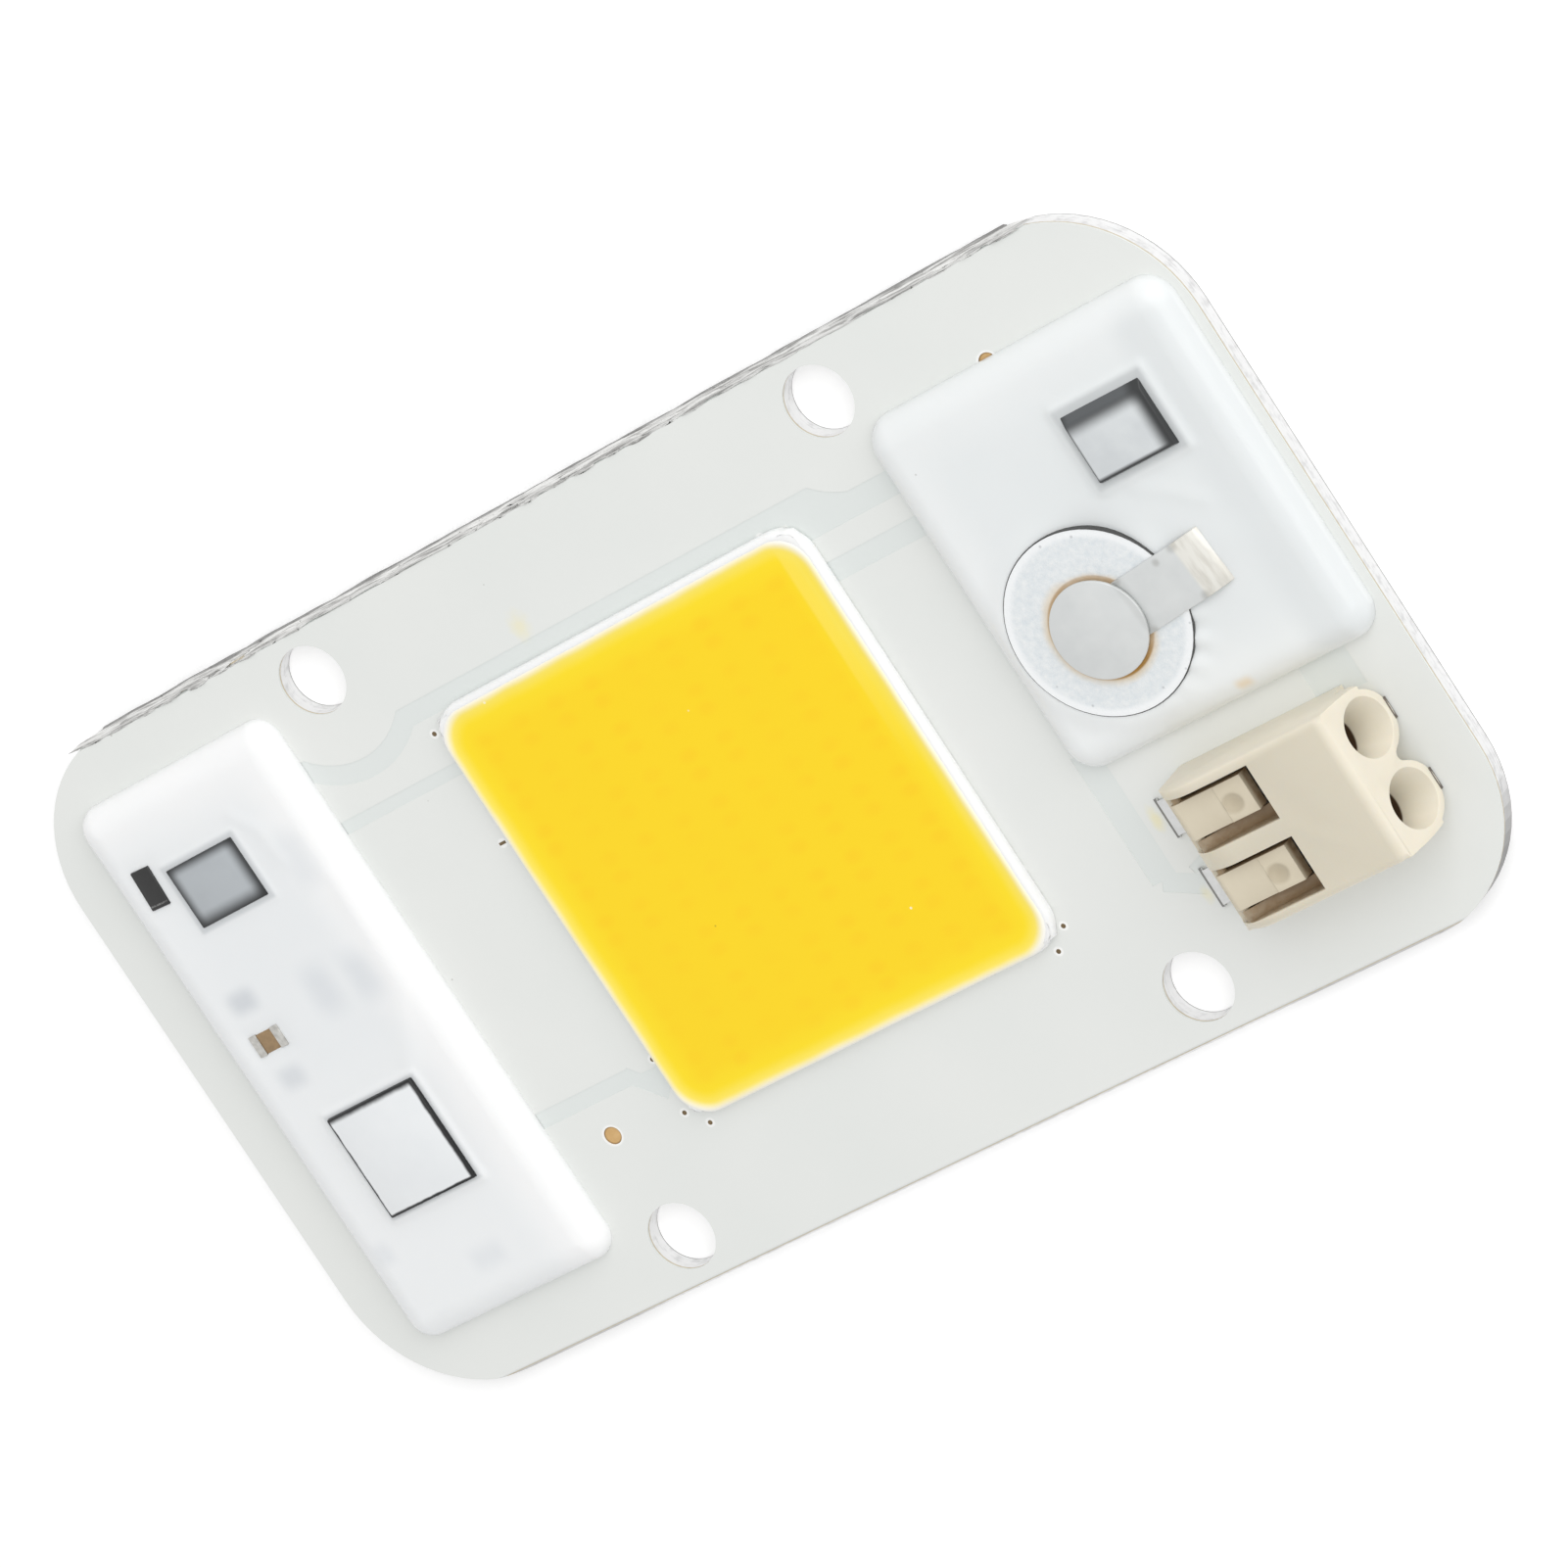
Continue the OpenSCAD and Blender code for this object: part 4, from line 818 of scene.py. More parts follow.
# Box and colour of each grey veil.
LEFT_VEILS = [
    # The first two veils are painted shade over the flat middle, which leaves the rolled edges bright; the
    # next seven are the buried chips, and the last two the thin silicone round the driver and the
    # regulator.
    ((-34.6, -17.0), (-21.3, 16.8), (0.6, 3.4, 0.8, 4.0), 0.45, "#E1E5E7"),
    ((-33.4, -2.6), (-22.0, 14.4), (3.0, 3.0, 3.0, 3.0), 0.12, "#D6DBDF"),
    ((-27.9, 0.9), (-24.75, 5.3), (1.5, 1.5, 1.8, 1.8), 0.28, "#BFC5CD"),
    ((-25.15, 0.6), (-22.15, 5.0), (1.4, 1.4, 1.8, 1.8), 0.30, "#BFC5CD"),
    ((-24.4, 7.3), (-21.4, 12.0), (1.4, 1.4, 1.6, 1.6), 0.22, "#C3C9D0"),
    ((-32.4, 3.4), (-29.7, 5.5), (1.1, 1.1, 0.95, 0.95), 0.45, "#B4BAC2"),
    ((-32.4, -1.3), (-29.8, 0.8), (1.1, 1.1, 0.95, 0.95), 0.32, "#B4BAC2"),
    ((-33.6, -11.8), (-31.6, -9.7), (0.9, 0.9, 0.9, 0.9), 0.20, "#BFC5CD"),
    ((-28.6, -14.4), (-25.4, -12.1), (1.1, 1.1, 1.1, 1.1), 0.20, "#C3C9D0"),
    ((-30.85, 8.35), (-25.3, 12.75), (0.3, 0.3, 0.3, 0.3), 0.35, "#8D9398"),
    ((-30.95, -9.5), (-24.25, -2.7), (0.26, 0.26, 0.26, 0.26), 0.35, "#9BA0A4"),
]
# Path, height and width of each ridge.
LEFT_RIDGES = [
    ([(-25.0, 13.2), (-24.1, 12.0), (-23.9, 10.0)], 0.05, 0.45),
    ([(-21.7, 8.0), (-22.0, 2.0), (-23.3, -0.8), (-24.2, -2.4)], 0.07, 0.7),
]
# Corners, rise and reach at the regulator and the driver, which the silicone climbs, and at the diode
# and the capacitor, to which it dips.
LEFT_CLIMBS = [
    ((-30.67, -9.27), (-24.53, -2.93), 0.16, 0.32),
    ((-30.53, 8.68), (-25.63, 12.42), 0.08, 0.30),
    ((-32.7, 10.6), (-31.2, 13.2), -0.05, 0.5),
    ((-32.1, 1.4), (-30.1, 2.6), -0.06, 0.5),
]


def potting_finish(name, shades, veils):
    """Poured white silicone: glossy and clean white, with soft veils of grey over what is buried
    or stands near, broad painted shade over its flat middle, and a few small pits."""
    finish, add, place = begin_finish(name)
    cloud = add("TexNoise", {"Vector": place, "Scale": 0.16, "Detail": 2.0})
    layers = [(cloud, shades[1])]
    for *box, code in veils:
        layers.append((soft_box(add, place, *box), code))
    layers.append((specks(add, place, 0.28, (0.024, 0.012), 0.35), "#77726C"))
    skin = add("TexNoise", {"Vector": place, "Scale": 0.5, "Detail": 2.0})
    end_finish(add, shades[0], layers, {
        "Roughness": 0.18, "IOR": 1.41, "Subsurface Weight": 0.3, "Subsurface Radius": (1.0, 0.97, 0.94),
        "Subsurface Scale": 0.6 * MM}, skin, (0.2, 0.08))
    return finish


def ridge(x, y, path, width):
    """A rounded ridge along a path of points in millimetres, one at its crest."""
    best = np.full_like(x, 1e9)
    for (ax, ay), (bx, by) in zip(path, path[1:]):
        run = np.array((bx - ax, by - ay))
        along = np.clip(((x - ax) * run[0] + (y - ay) * run[1]) / (run @ run), 0, 1)
        best = np.minimum(best, np.hypot(x - ax - along * run[0], y - ay - along * run[1]))
    return np.exp(-(best / width) ** 2)


def box_gap(x, y, low, high):
    """Distance in millimetres outside a rectangle."""
    past_x = np.maximum(np.maximum(low[0] - x, x - high[0]), 0)
    past_y = np.maximum(np.maximum(low[1] - y, y - high[1]), 0)
    return np.hypot(past_x, past_y)


def cured_height(x, y, lengths, seed, ridges, climbs):
    """Height of a cured pour: its slow swells, its ridges, and where it climbs or dips to a piece."""
    height = POTTING_HEIGHT + POTTING_SWELL * swell(x, y, lengths, seed)
    for path, rise, width in ridges:
        height += rise * ridge(x, y, path, width)
    for low, high, rise, width in climbs:
        height += rise * np.exp(-(box_gap(x, y, low, high) / width) ** 2)
    return height


def rolled_edge(depth, height, roll):
    """Height of a surface that rolls over at its edge, over a width and by a drop."""
    over = np.clip(1 - depth / roll[0], 0, 1)
    return height - roll[1] * (1 - np.sqrt(np.maximum(1 - over ** 2, 0)))


def left_surface(x, y, depth):
    """The cured surface of the left pour."""
    height = cured_height(x, y, LEFT_WAVES, 1.1, LEFT_RIDGES, LEFT_CLIMBS)
    return rolled_edge(depth, height, EDGE_ROLL)


left_silicone = potting_finish("poured_white_silicone_left", ("#F9FAFA", "#FCFCFC"), LEFT_VEILS)
left_potting = pour("silicone_left", LEFT, LEFT_SIZE, LEFT_CORNER, LEFT_CELLS, left_surface)
finish_piece(left_potting, left_silicone, smooth=60)
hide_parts("potting_left")

# Rectifier
# A bridge rectifier in black moulded epoxy with four tinned legs and one chamfered long edge. The
# silicone left a white skin on its top, which thins out to black towards all four edges.

RECTIFIER_CAP = ((28.96, 7.50), (33.45, 10.70), (0.14, 0.90, 0.22, 0.90))
RECTIFIER_FACET = ((28.8, 10.40), (33.3, 11.36), (0.5, 0.8, 0.35, 0.30), 0.5)
RECTIFIER_CLEAR = ((28.80, 7.32), (34.0, 11.5), (0.06, 0.01, 0.06, 0.01))

# Silicone cap over black epoxy: pale grey on the flat top, a painted grey sheen on the chamfer, dark
# between, and white at the two edges that the silicone covers.
rectifier_finish, add, place = begin_finish("black_epoxy_under_silicone_cap")
cap = soft_box(add, place, *RECTIFIER_CAP)
crease = add("TexNoise", {"Vector": place, "Scale": 0.8, "Detail": 3.0})
cap_colour = blend(add, "#C9CDD0", [(crease, "#DEE2E3")])
# Painted sheen: the chamfer is drawn a lighter grey than the black around it.
facet = soft_box(add, place, *RECTIFIER_FACET)
top = blend(add, "#2B2D2E", [(facet, "#6C7073"), (cap, cap_colour)])
clear = soft_box(add, place, *RECTIFIER_CLEAR)
end_finish(add, "#E4E7E7", [(clear, top)], {"Roughness": 0.35, "IOR": 1.5})

rectifier = rounded_copy("rectifier_body", CHIP_ROUND, sharp=15)
finish_piece(rectifier, rectifier_finish, smooth=25)
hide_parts("rectifier_body")
dress("rectifier_leads", tinned_lead)

# Varistor disc
# A pressed and fired zinc oxide disc with a silver face baked on each side. Flux from soldering
# the strap has dried in a brown ring round its head.

DISC = (24.565, 1.5)
DISC_RADIUS = 4.9
HEAD = (24.605, 1.25)
HEAD_RADIUS = 2.55
FLUX_MIDDLE = (HEAD[0] - 0.05, HEAD[1] - 0.01)
# Bearing, narrowness and depth of each pool of flux.
FLUX_POOLS = [(2.9, 0.4, 0.6), (-1.35, 0.6, 1.0)]

# Fired oxide: dark grey, matt and porous.
fired_oxide = mottled_finish(
    "fired_zinc_oxide", ("#2B2C2D", "#5A5A58"), 6.0, 3.0, {"Roughness": 0.6}, (0.5, 0.04))
dress("varistor_disc", fired_oxide)

# Baked silver: pale, satin, faintly blue, grainy, with a painted highlight round its rim, with flux in
# an amber line, a pale orange bloom round the strap's head and two places where it pooled.
baked_silver, add, place = begin_finish("baked_silver_paste")
mottle = add("TexNoise", {"Vector": place, "Scale": 3.0, "Detail": 6.0, "Roughness": 0.75})
mottle = add("MapRange", {"Value": mottle, "From Min": 0.30, "From Max": 0.70})
# Painted highlight on the ring where the silver's edge rounds off.
painted_rim_highlight = soft_spot(add, place, DISC, DISC_RADIUS - 0.6, DISC_RADIUS - 0.25)
run_out = add("TexNoise", {"Vector": place, "Scale": 0.55, "Detail": 2.0})
spread = add("MapRange", {
    "Value": run_out, "From Min": 0.3, "From Max": 0.7,
    "To Min": HEAD_RADIUS + 0.2, "To Max": HEAD_RADIUS + 0.75})
bloom = soft_spot(add, place, FLUX_MIDDLE, spread, HEAD_RADIUS, 0.55)
thick = add("MapRange", {
    "Value": run_out, "From Min": 0.35, "From Max": 0.6, "To Min": 0.3, "To Max": 0.6})
flux_and_shade = soft_spot(add, place, FLUX_MIDDLE, HEAD_RADIUS + 0.24, HEAD_RADIUS + 0.12)
split = add("SeparateXYZ", {0: from_spot(add, place, HEAD)}).node.outputs
bearing = add("Math", {0: split["Y"], 1: split["X"]}, operation="ARCTAN2")
pools = 0.0
for way, narrow, depth in FLUX_POOLS:
    pool = add("Math", {0: bearing, 1: way}, operation="SUBTRACT")
    pool = add("Math", {0: pool}, operation="COSINE")
    pool = add("MapRange", {"Value": pool, "From Min": narrow, "From Max": 1.0, "To Max": depth})
    pools = add("Math", {0: pool, 1: pools}, operation="MAXIMUM")
thick = add("Math", {0: pools, 1: thick}, operation="MAXIMUM")
head_reach = plan_reach(add, place, FLUX_MIDDLE)
spill = add("MapRange", {
    "Value": head_reach, "From Min": HEAD_RADIUS + 0.6, "From Max": HEAD_RADIUS + 0.25, "To Max": 0.5})
spill = add("Math", {0: spill, 1: pools}, operation="MULTIPLY")
flux_and_shade = add("Math", {0: flux_and_shade, 1: thick}, operation="MULTIPLY")
flecks = specks(add, place, 0.9, (0.09, 0.04), 0.4)
end_finish(add, "#D9E0E4", [
    (mottle, "#EEF0F0"), (painted_rim_highlight, "#F3F5F6"), (bloom, "#EBCFA2"), (spill, "#DFC597"), (flux_and_shade, "#AE8138"),
    (flecks, "#8F9296")], {"Metallic": 0.25, "Roughness": 0.45}, mottle, (0.4, 0.04))
dress("varistor_electrodes", baked_silver)

# Varistor strap
# A keyhole-shaped strap stamped from tinned copper strip. Its round head is soldered to the disc,
# and its arm slopes past the disc's rim, then drops through the silicone to the board.

STRAP_TOP = 1.9
STRAP_THICK = 0.2
STRAP_ROUND = 0.045
ON_LINE = 0.002
ARM_WIDTH = 3.1
ARM_TURN = 5.0
# Way from the middle of the head, and height above the board.
ARM_PATH = [
    (1.9, 1.80), (2.2, 1.86), (2.7, 1.90), (5.75, 1.90), (6.1, 1.87), (7.1, 1.60), (7.3, 1.50),
    (7.45, 1.32), (7.55, 1.05), (7.68, 0.3), (7.8, 0.2), (8.7, 0.2),
]
# Place along and across the arm, and size, of each spot of painted shade in a crease.
CREASE_SHADES = [(5.85, 1.40, 0.4), (5.85, -1.40, 0.4), (2.3, 1.5, 0.35), (2.4, -1.5, 0.35), (4.7, 1.2, 0.3)]
ARM_SLOPE = ((5.75, -1.7), (7.7, 1.7), (0.25, 0.10, 0.05, 0.05))
# Painted shade across the neck, where the arm leaves the head.
NECK_SHADE = ((2.0, -1.7), (2.9, 1.7), (0.3, 0.55, 0.05, 0.05), 0.25)

# Dull tin: pale grey with a smeared white film, beige and scraped on the slope where silicone
# dried on it, with painted shade in its creases and across its neck.
strap_tin, add, place = begin_finish("dull_tinned_strip")
local = add("Mapping", {"Vector": place, "Location": (-HEAD[0], -HEAD[1], 0.0)}, vector_type="POINT")
local = add("Mapping", {
    "Vector": local, "Rotation": (0.0, 0.0, math.radians(-ARM_TURN))}, vector_type="POINT")
smear = add("TexNoise", {"Vector": place, "Scale": 0.8, "Detail": 4.0})
film = soft_box(add, local, *ARM_SLOPE, 0.75)
scrape = add("VectorMath", {0: local, 1: (3.0, 0.5, 1.0)}, operation="MULTIPLY")
scrape = add("TexNoise", {"Vector": scrape, "Scale": 1.0, "Detail": 3.0})
scrape = add("MapRange", {"Value": scrape, "From Min": 0.45, "From Max": 0.7, "To Max": 0.4})
scrape = soft_box(add, local, *ARM_SLOPE, scrape)
layers = [(smear, "#DCDEDD"), (film, "#E6E3DA"), (scrape, "#A59F90")]
# Painted shade in the creases and across the neck.
for x, y, size in CREASE_SHADES:
    layers.append((soft_spot(add, local, (x, y), size, 0.05, 0.35), "#7F7B72"))
layers.append((soft_box(add, local, *NECK_SHADE), "#A8A9A6"))
end_finish(add, "#CBCECE", layers, {"Metallic": 0.3, "Roughness": 0.4}, smear, (0.3, 0.04))


def work_edges(piece, chosen, work, **settings):
    """Selects those edges of a piece whose two ends, in millimetres, a test chooses, and works on
    them with one operator."""
    points = read_points(piece)
    for item in list(piece.data.polygons) + list(piece.data.vertices):
        item.select = False
    for edge in piece.data.edges:
        edge.select = bool(chosen(points[edge.vertices[0]], points[edge.vertices[1]]))
    bpy.context.tool_settings.mesh_select_mode = (False, True, False)
    bpy.ops.object.mode_set(mode="EDIT")
    work(**settings)
    bpy.context.tool_settings.mesh_select_mode = (True, False, False)
    bpy.ops.object.mode_set(mode="OBJECT")


strap_head = new_piece(
    "strap_head", bpy.ops.mesh.primitive_circle_add, vertices=72, radius=HEAD_RADIUS * MM, fill_type="NGON",
    location=(0, 0, (BOARD_TOP + STRAP_TOP) * MM))
strap = new_piece(
    "keyhole_strap", bpy.ops.mesh.primitive_grid_add, x_subdivisions=1, y_subdivisions=4, size=1.0)
share = read_points(strap) * MM
start = share[:, 0] < 0
write_points(strap, np.column_stack((
    np.where(start, ARM_PATH[0][0], ARM_PATH[1][0]),
    share[:, 1] * ARM_WIDTH,
    np.where(start, ARM_PATH[0][1], ARM_PATH[1][1]) + BOARD_TOP)))
for (x, z), (past_x, past_z) in zip(ARM_PATH[1:], ARM_PATH[2:]):
    work_edges(
        strap, lambda a, b: max(abs(a[0] - x), abs(b[0] - x)) < ON_LINE, bpy.ops.mesh.extrude_region_move,
        TRANSFORM_OT_translate={"value": ((past_x - x) * MM, 0, (past_z - z) * MM)})
pick(strap, strap_head)
bpy.ops.object.join()
turn = Matrix.Translation((HEAD[0] * MM, HEAD[1] * MM, 0)) @ Matrix.Rotation(math.radians(ARM_TURN), 4, "Z")
strap.data.transform(turn)
bpy.ops.object.mode_set(mode="EDIT")
close_up()
apply_modifier(strap, "SOLIDIFY", thickness=STRAP_THICK * MM, offset=-1.0)
round_edges(strap, STRAP_ROUND, sharp=50)
finish_piece(strap, strap_tin, smooth=45)
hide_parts("varistor_strap")

# Right silicone
# The second pour, over the rectifier and round the varistor. It climbs the disc nearly to its top,
# except on one side where the dark ceramic shows.

RIGHT = (27.725, 4.96)
RIGHT_SIZE = (18.55, 20.2)
RIGHT_CORNER = 1.6
RIGHT_CELLS = (200, 220)
RIGHT_WAVES = (10.0, 6.7, 4.9)
RIGHT_VEILS = [
    # The first veil is painted shade over the flat middle, which leaves the rolled edges bright, and the
    # second a greyer band along the +X side; then the thin silicone round the rectifier, and an amber
    # patch.
    ((19.8, -3.6), (35.6, 13.6), (2.6, 2.6, 2.6, 2.6), 0.30, "#DCE1E2"),
    ((32.8, -5.0), (37.0, 15.0), (1.8, 0.1, 0.5, 2.0), 0.50, "#DADEDF"),
    ((28.35, 6.85), (34.2, 11.7), (0.36, 0.36, 0.36, 0.36), 0.35, "#85898C"),
    ((28.6, -4.9), (30.0, -3.9), (0.55, 0.55, 0.5, 0.5), 0.45, "#E9C98E"),
]
RIGHT_RIDGES = [([(30.3, 6.4), (31.6, 5.6), (33.0, 4.4)], 0.06, 0.5)]
# Corners, rise and reach at the rectifier and at the foot of the strap.
RIGHT_CLIMBS = [
    ((28.67, 7.17), (33.87, 11.37), 0.22, 0.40),
    ((33.2, 2.0), (33.2, 2.0), 0.08, 1.2),
]
DISC_CLIMB = 0.23
DISC_WET = 0.8
# Drop, bearing and spread of the side that stays dry, and of the one where the edge is ragged.
DRY_SIDE = (0.34, 1.05, 0.60)
RAGGED_SIDE = (0.08, -0.60, 0.55)
RAGGED_TEETH = 23


def right_surface(x, y, depth):
    """The cured surface of the right pour, which wets the disc on most of its edge."""
    height = cured_height(x, y, RIGHT_WAVES, 2.3, RIGHT_RIDGES, RIGHT_CLIMBS)
    from_rim = np.hypot(x - DISC[0], y - DISC[1]) - DISC_RADIUS
    bearing = np.arctan2(y - DISC[1], x - DISC[0])
    dry, ragged = [
        drop * np.exp(-((bearing - way) / spread) ** 2) for drop, way, spread in (DRY_SIDE, RAGGED_SIDE)]
    dry += ragged * (1 + np.sin(RAGGED_TEETH * bearing))
    height += (DISC_CLIMB - dry) * np.exp(-(np.maximum(from_rim, 0) / DISC_WET) ** 2)
    return rolled_edge(depth, height, EDGE_ROLL)


right_silicone = potting_finish("poured_white_silicone_right", ("#EBEEEE", "#F0F2F2"), RIGHT_VEILS)
right_potting = pour("silicone_right", RIGHT, RIGHT_SIZE, RIGHT_CORNER, RIGHT_CELLS, right_surface)
finish_piece(right_potting, right_silicone, smooth=60)
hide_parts("potting_right")

# Terminal housing
# A two-pole push-in wire terminal moulded in cream nylon: two wire funnels in the sloping front, two
# slots from the rear in which the release levers work, and a sloping ledge low in each slot.

HOUSING_SIDE = 4.05
HOUSING_MIDDLE = -10.88
HOUSING_TOP = 5.62
HOUSING_ROUND = 0.08
SLOT_START = 22.9
SLOT_END = 28.8
SLOT_HALF = 1.54
SLOT_FADE = 1.4
SLOT_SHADE = (BOARD_TOP + 4.40, BOARD_TOP + 3.95)
SLOT_DEPTH = (BOARD_TOP + 4.0, BOARD_TOP + 2.8)
THROAT_END = 32.72
THROAT_HALF = 1.62
THROAT_FADE = 0.12
THROAT_SHADE = (BOARD_TOP + 3.6, BOARD_TOP + 3.5)
HARD_EDGE = 0.01
CROWN = 4.5
BROW = 33.39
BROW_ROUND = 0.45
FRONT_LEAN = 0.31
WEB_LOW = 2.42
WEB_HALF = 0.334
COLLAR_FOOT = 1.5
COLLAR_AXIS = 3.17
COLLAR_RADIUS = 1.85
TOP_ROUND = 0.36
# Profile of the ledge, along the slot and up from the board, and its two sides off the slot's middle.
LEDGE = [
    (23.80, 3.64), (24.22, 3.64), (24.28, 2.70), (28.75, 2.70), (28.75, 2.90), (24.90, 3.42),
    (24.35, 3.69), (23.80, 3.74),
]
LEDGE_ASIDE = (-1.56, -0.92)
LEDGE_ROUND = 0.03

# Cream nylon: satin, with faint flow lines and painted shade on top. Warm brown painted shade in the
# depth of the slots, a little lighter low down, and a darker brown in the wire holes stand in for the
# shade there and for light that comes back through the plastic.
cream_nylon, add, place = begin_finish("cream_moulded_nylon")
flow = add("TexNoise", {"Vector": place, "Scale": 0.5, "Detail": 4.0})
normal = add("NewGeometry", {}, out="Normal")
upright = add("SeparateXYZ", {0: normal}, out="Z")
# Painted shade on the faces that look up.
painted_top_shade = add("MapRange", {"Value": upright, "From Min": 0.60, "From Max": 1.0, "To Max": 0.53})
height = add("SeparateXYZ", {0: place}, out="Z")
# Painted shade low in the slots and in the wire holes, by height.
shaded = add("MapRange", {
    "Value": height, "From Min": SLOT_SHADE[0], "From Max": SLOT_SHADE[1]}, interpolation_type="SMOOTHSTEP")
low_down = add("MapRange", {"Value": height, "From Min": THROAT_SHADE[0], "From Max": THROAT_SHADE[1]})
slots = throats = 0.0
for y in POLES:
    slot = soft_box(
        add, place, (SLOT_START, y - SLOT_HALF), (SLOT_END + 0.02, y + SLOT_HALF),
        (SLOT_FADE, HARD_EDGE, HARD_EDGE, HARD_EDGE), shaded)
    slots = add("Math", {0: slot, 1: slots}, operation="MAXIMUM")
    throat = soft_box(
        add, place, (SLOT_END, y - THROAT_HALF), (THROAT_END, y + THROAT_HALF),
        (HARD_EDGE, THROAT_FADE, HARD_EDGE, HARD_EDGE), low_down)
    throats = add("Math", {0: throat, 1: throats}, operation="MAXIMUM")
# Makes the painted slot shade patchy.
scuffs_and_patchy_shade = add("TexNoise", {"Vector": place, "Scale": 3.0, "Detail": 3.0})
scuffs_and_patchy_shade = add("MapRange", {"Value": scuffs_and_patchy_shade, "From Min": 0.3, "From Max": 0.7, "To Min": 0.75, "To Max": 1.0})
painted_slot_shade = add("Math", {0: slots, 1: scuffs_and_patchy_shade}, operation="MULTIPLY")
# Painted light: the slot shade is a little lighter again low down.
inward = add("MapRange", {"Value": height, "From Min": SLOT_DEPTH[0], "From Max": SLOT_DEPTH[1]})
inward = add("Math", {0: inward, 1: slots}, operation="MULTIPLY")
fine = add("TexNoise", {"Vector": place, "Scale": 7.0, "Detail": 2.0})
end_finish(add, "#E0D8C5", [
    (flow, "#EBE4D3"), (painted_top_shade, "#CAC2AD"), (painted_slot_shade, "#857054"), (inward, "#8F7656"), (throats, "#46321F")], {
    "Roughness": 0.45, "IOR": 1.53, "Subsurface Weight": 0.15, "Subsurface Radius": (1.0, 0.7, 0.4),
    "Subsurface Scale": 0.3 * MM}, fine, (0.25, 0.02))


def on_brow(a, b):
    """The edge where the top turns down into the sloping front."""
    return min(a[2], b[2]) > HOUSING_TOP - 0.01 and min(a[0], b[0]) > BROW - 0.05


def on_shoulder(a, b):
    """The long upper edges of both sides, from the rear curve to the front."""
    sides = [abs(abs(p[1] - HOUSING_MIDDLE) - HOUSING_SIDE) < ON_LINE for p in (a, b)]
    lies = abs(a[2] - b[2]) < 1.5 * abs(a[0] - b[0])
    return all(sides) and min(a[2], b[2]) > CROWN and lies


def under_web(a, b):
    """The lower edges of the web between the collars."""
    level = all(abs(p[2] - WEB_LOW) < ON_LINE for p in (a, b))
    inside = all(abs(p[1] - HOUSING_MIDDLE) < WEB_HALF + 0.01 for p in (a, b))
    return level and inside and abs(a[1] - b[1]) > WEB_HALF


def web_curve(y):
    """A fillet that runs from one collar to the other."""
    radius = 1.1 * WEB_HALF
    level = math.sqrt(radius ** 2 - WEB_HALF ** 2)
    return WEB_LOW + math.sqrt(max(radius ** 2 - (y - HOUSING_MIDDLE) ** 2, 0)) - level


def under_collar(pole):
    """Gives the test for the flat front edge of the notch over one solder tab."""
    def chosen(a, b):
        level = all(abs(p[2] - COLLAR_FOOT) < ON_LINE and p[0] > BROW for p in (a, b))
        return level and abs(a[1] - b[1]) > 1.0 and abs(a[1] - pole) < 1.0
    return chosen


def collar_curve(y):
    """The collar's own round, carried on over its foot."""
    aside = min(abs(y - pole) for pole in POLES)
    return COLLAR_AXIS - math.sqrt(COLLAR_RADIUS ** 2 - aside ** 2)


def arch_edges(piece, chosen, curve):
    """Divides those edges of a piece that a test chooses and draws the new points up or down to a
    curve, along the lean of the front."""
    work_edges(piece, chosen, bpy.ops.mesh.subdivide, number_cuts=9)
    points = read_points(piece)
    for vertex in piece.data.vertices:
        if vertex.select:
            point = points[vertex.index]
            rise = curve(point[1]) - point[2]
            point[2] += rise
            if point[0] > BROW:
                point[0] -= FRONT_LEAN * rise
    write_points(piece, points)


housing = merged_copy("terminal_housing")
arch_edges(housing, under_web, web_curve)
for pole in POLES:
    arch_edges(housing, under_collar(pole), collar_curve)
for chosen, radius, segments in ((on_brow, BROW_ROUND, 5), (on_shoulder, TOP_ROUND, 4)):
    work_edges(
        housing, chosen, bpy.ops.mesh.bevel, offset=radius * MM, segments=segments, affect="EDGES",
        clamp_overlap=False)
round_edges(housing, HOUSING_ROUND)
finish_piece(housing, cream_nylon, smooth=35)
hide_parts("terminal_housing")

ledge = new_piece("ledge", bpy.ops.mesh.primitive_circle_add, vertices=len(LEDGE), fill_type="NGON")
write_points(ledge, np.array([(x, LEDGE_ASIDE[0], BOARD_TOP + z) for x, z in LEDGE]))
open_up()
bpy.ops.mesh.extrude_region_move(
    TRANSFORM_OT_translate={"value": (0, (LEDGE_ASIDE[1] - LEDGE_ASIDE[0]) * MM, 0)})
close_up()
round_edges(ledge, LEDGE_ROUND)
ledges = place_copies(ledge, [(0, y) for y in POLES], "slot_ledges")
finish_piece(ledges, cream_nylon, smooth=35)

# Contacts
# One stamped strip per pole in tinned copper alloy, with a solder tab at each end and a cage that
# the wire is pressed into.

TAB_FRONT = 34.6
TAB_REACH = 0.1
TAB_SHADE = (33.6, 34.2)
STRIP_ROUND = 0.03

# Tinned copper alloy, dull grey, with painted shade on the ends that show in front of the funnels, under
# the collars.
tinned_contact, add, place = begin_finish("tinned_contact_strip")
haze = add("TexNoise", {"Vector": place, "Scale": 3.0, "Detail": 3.0})
along = add("SeparateXYZ", {0: place}, out="X")
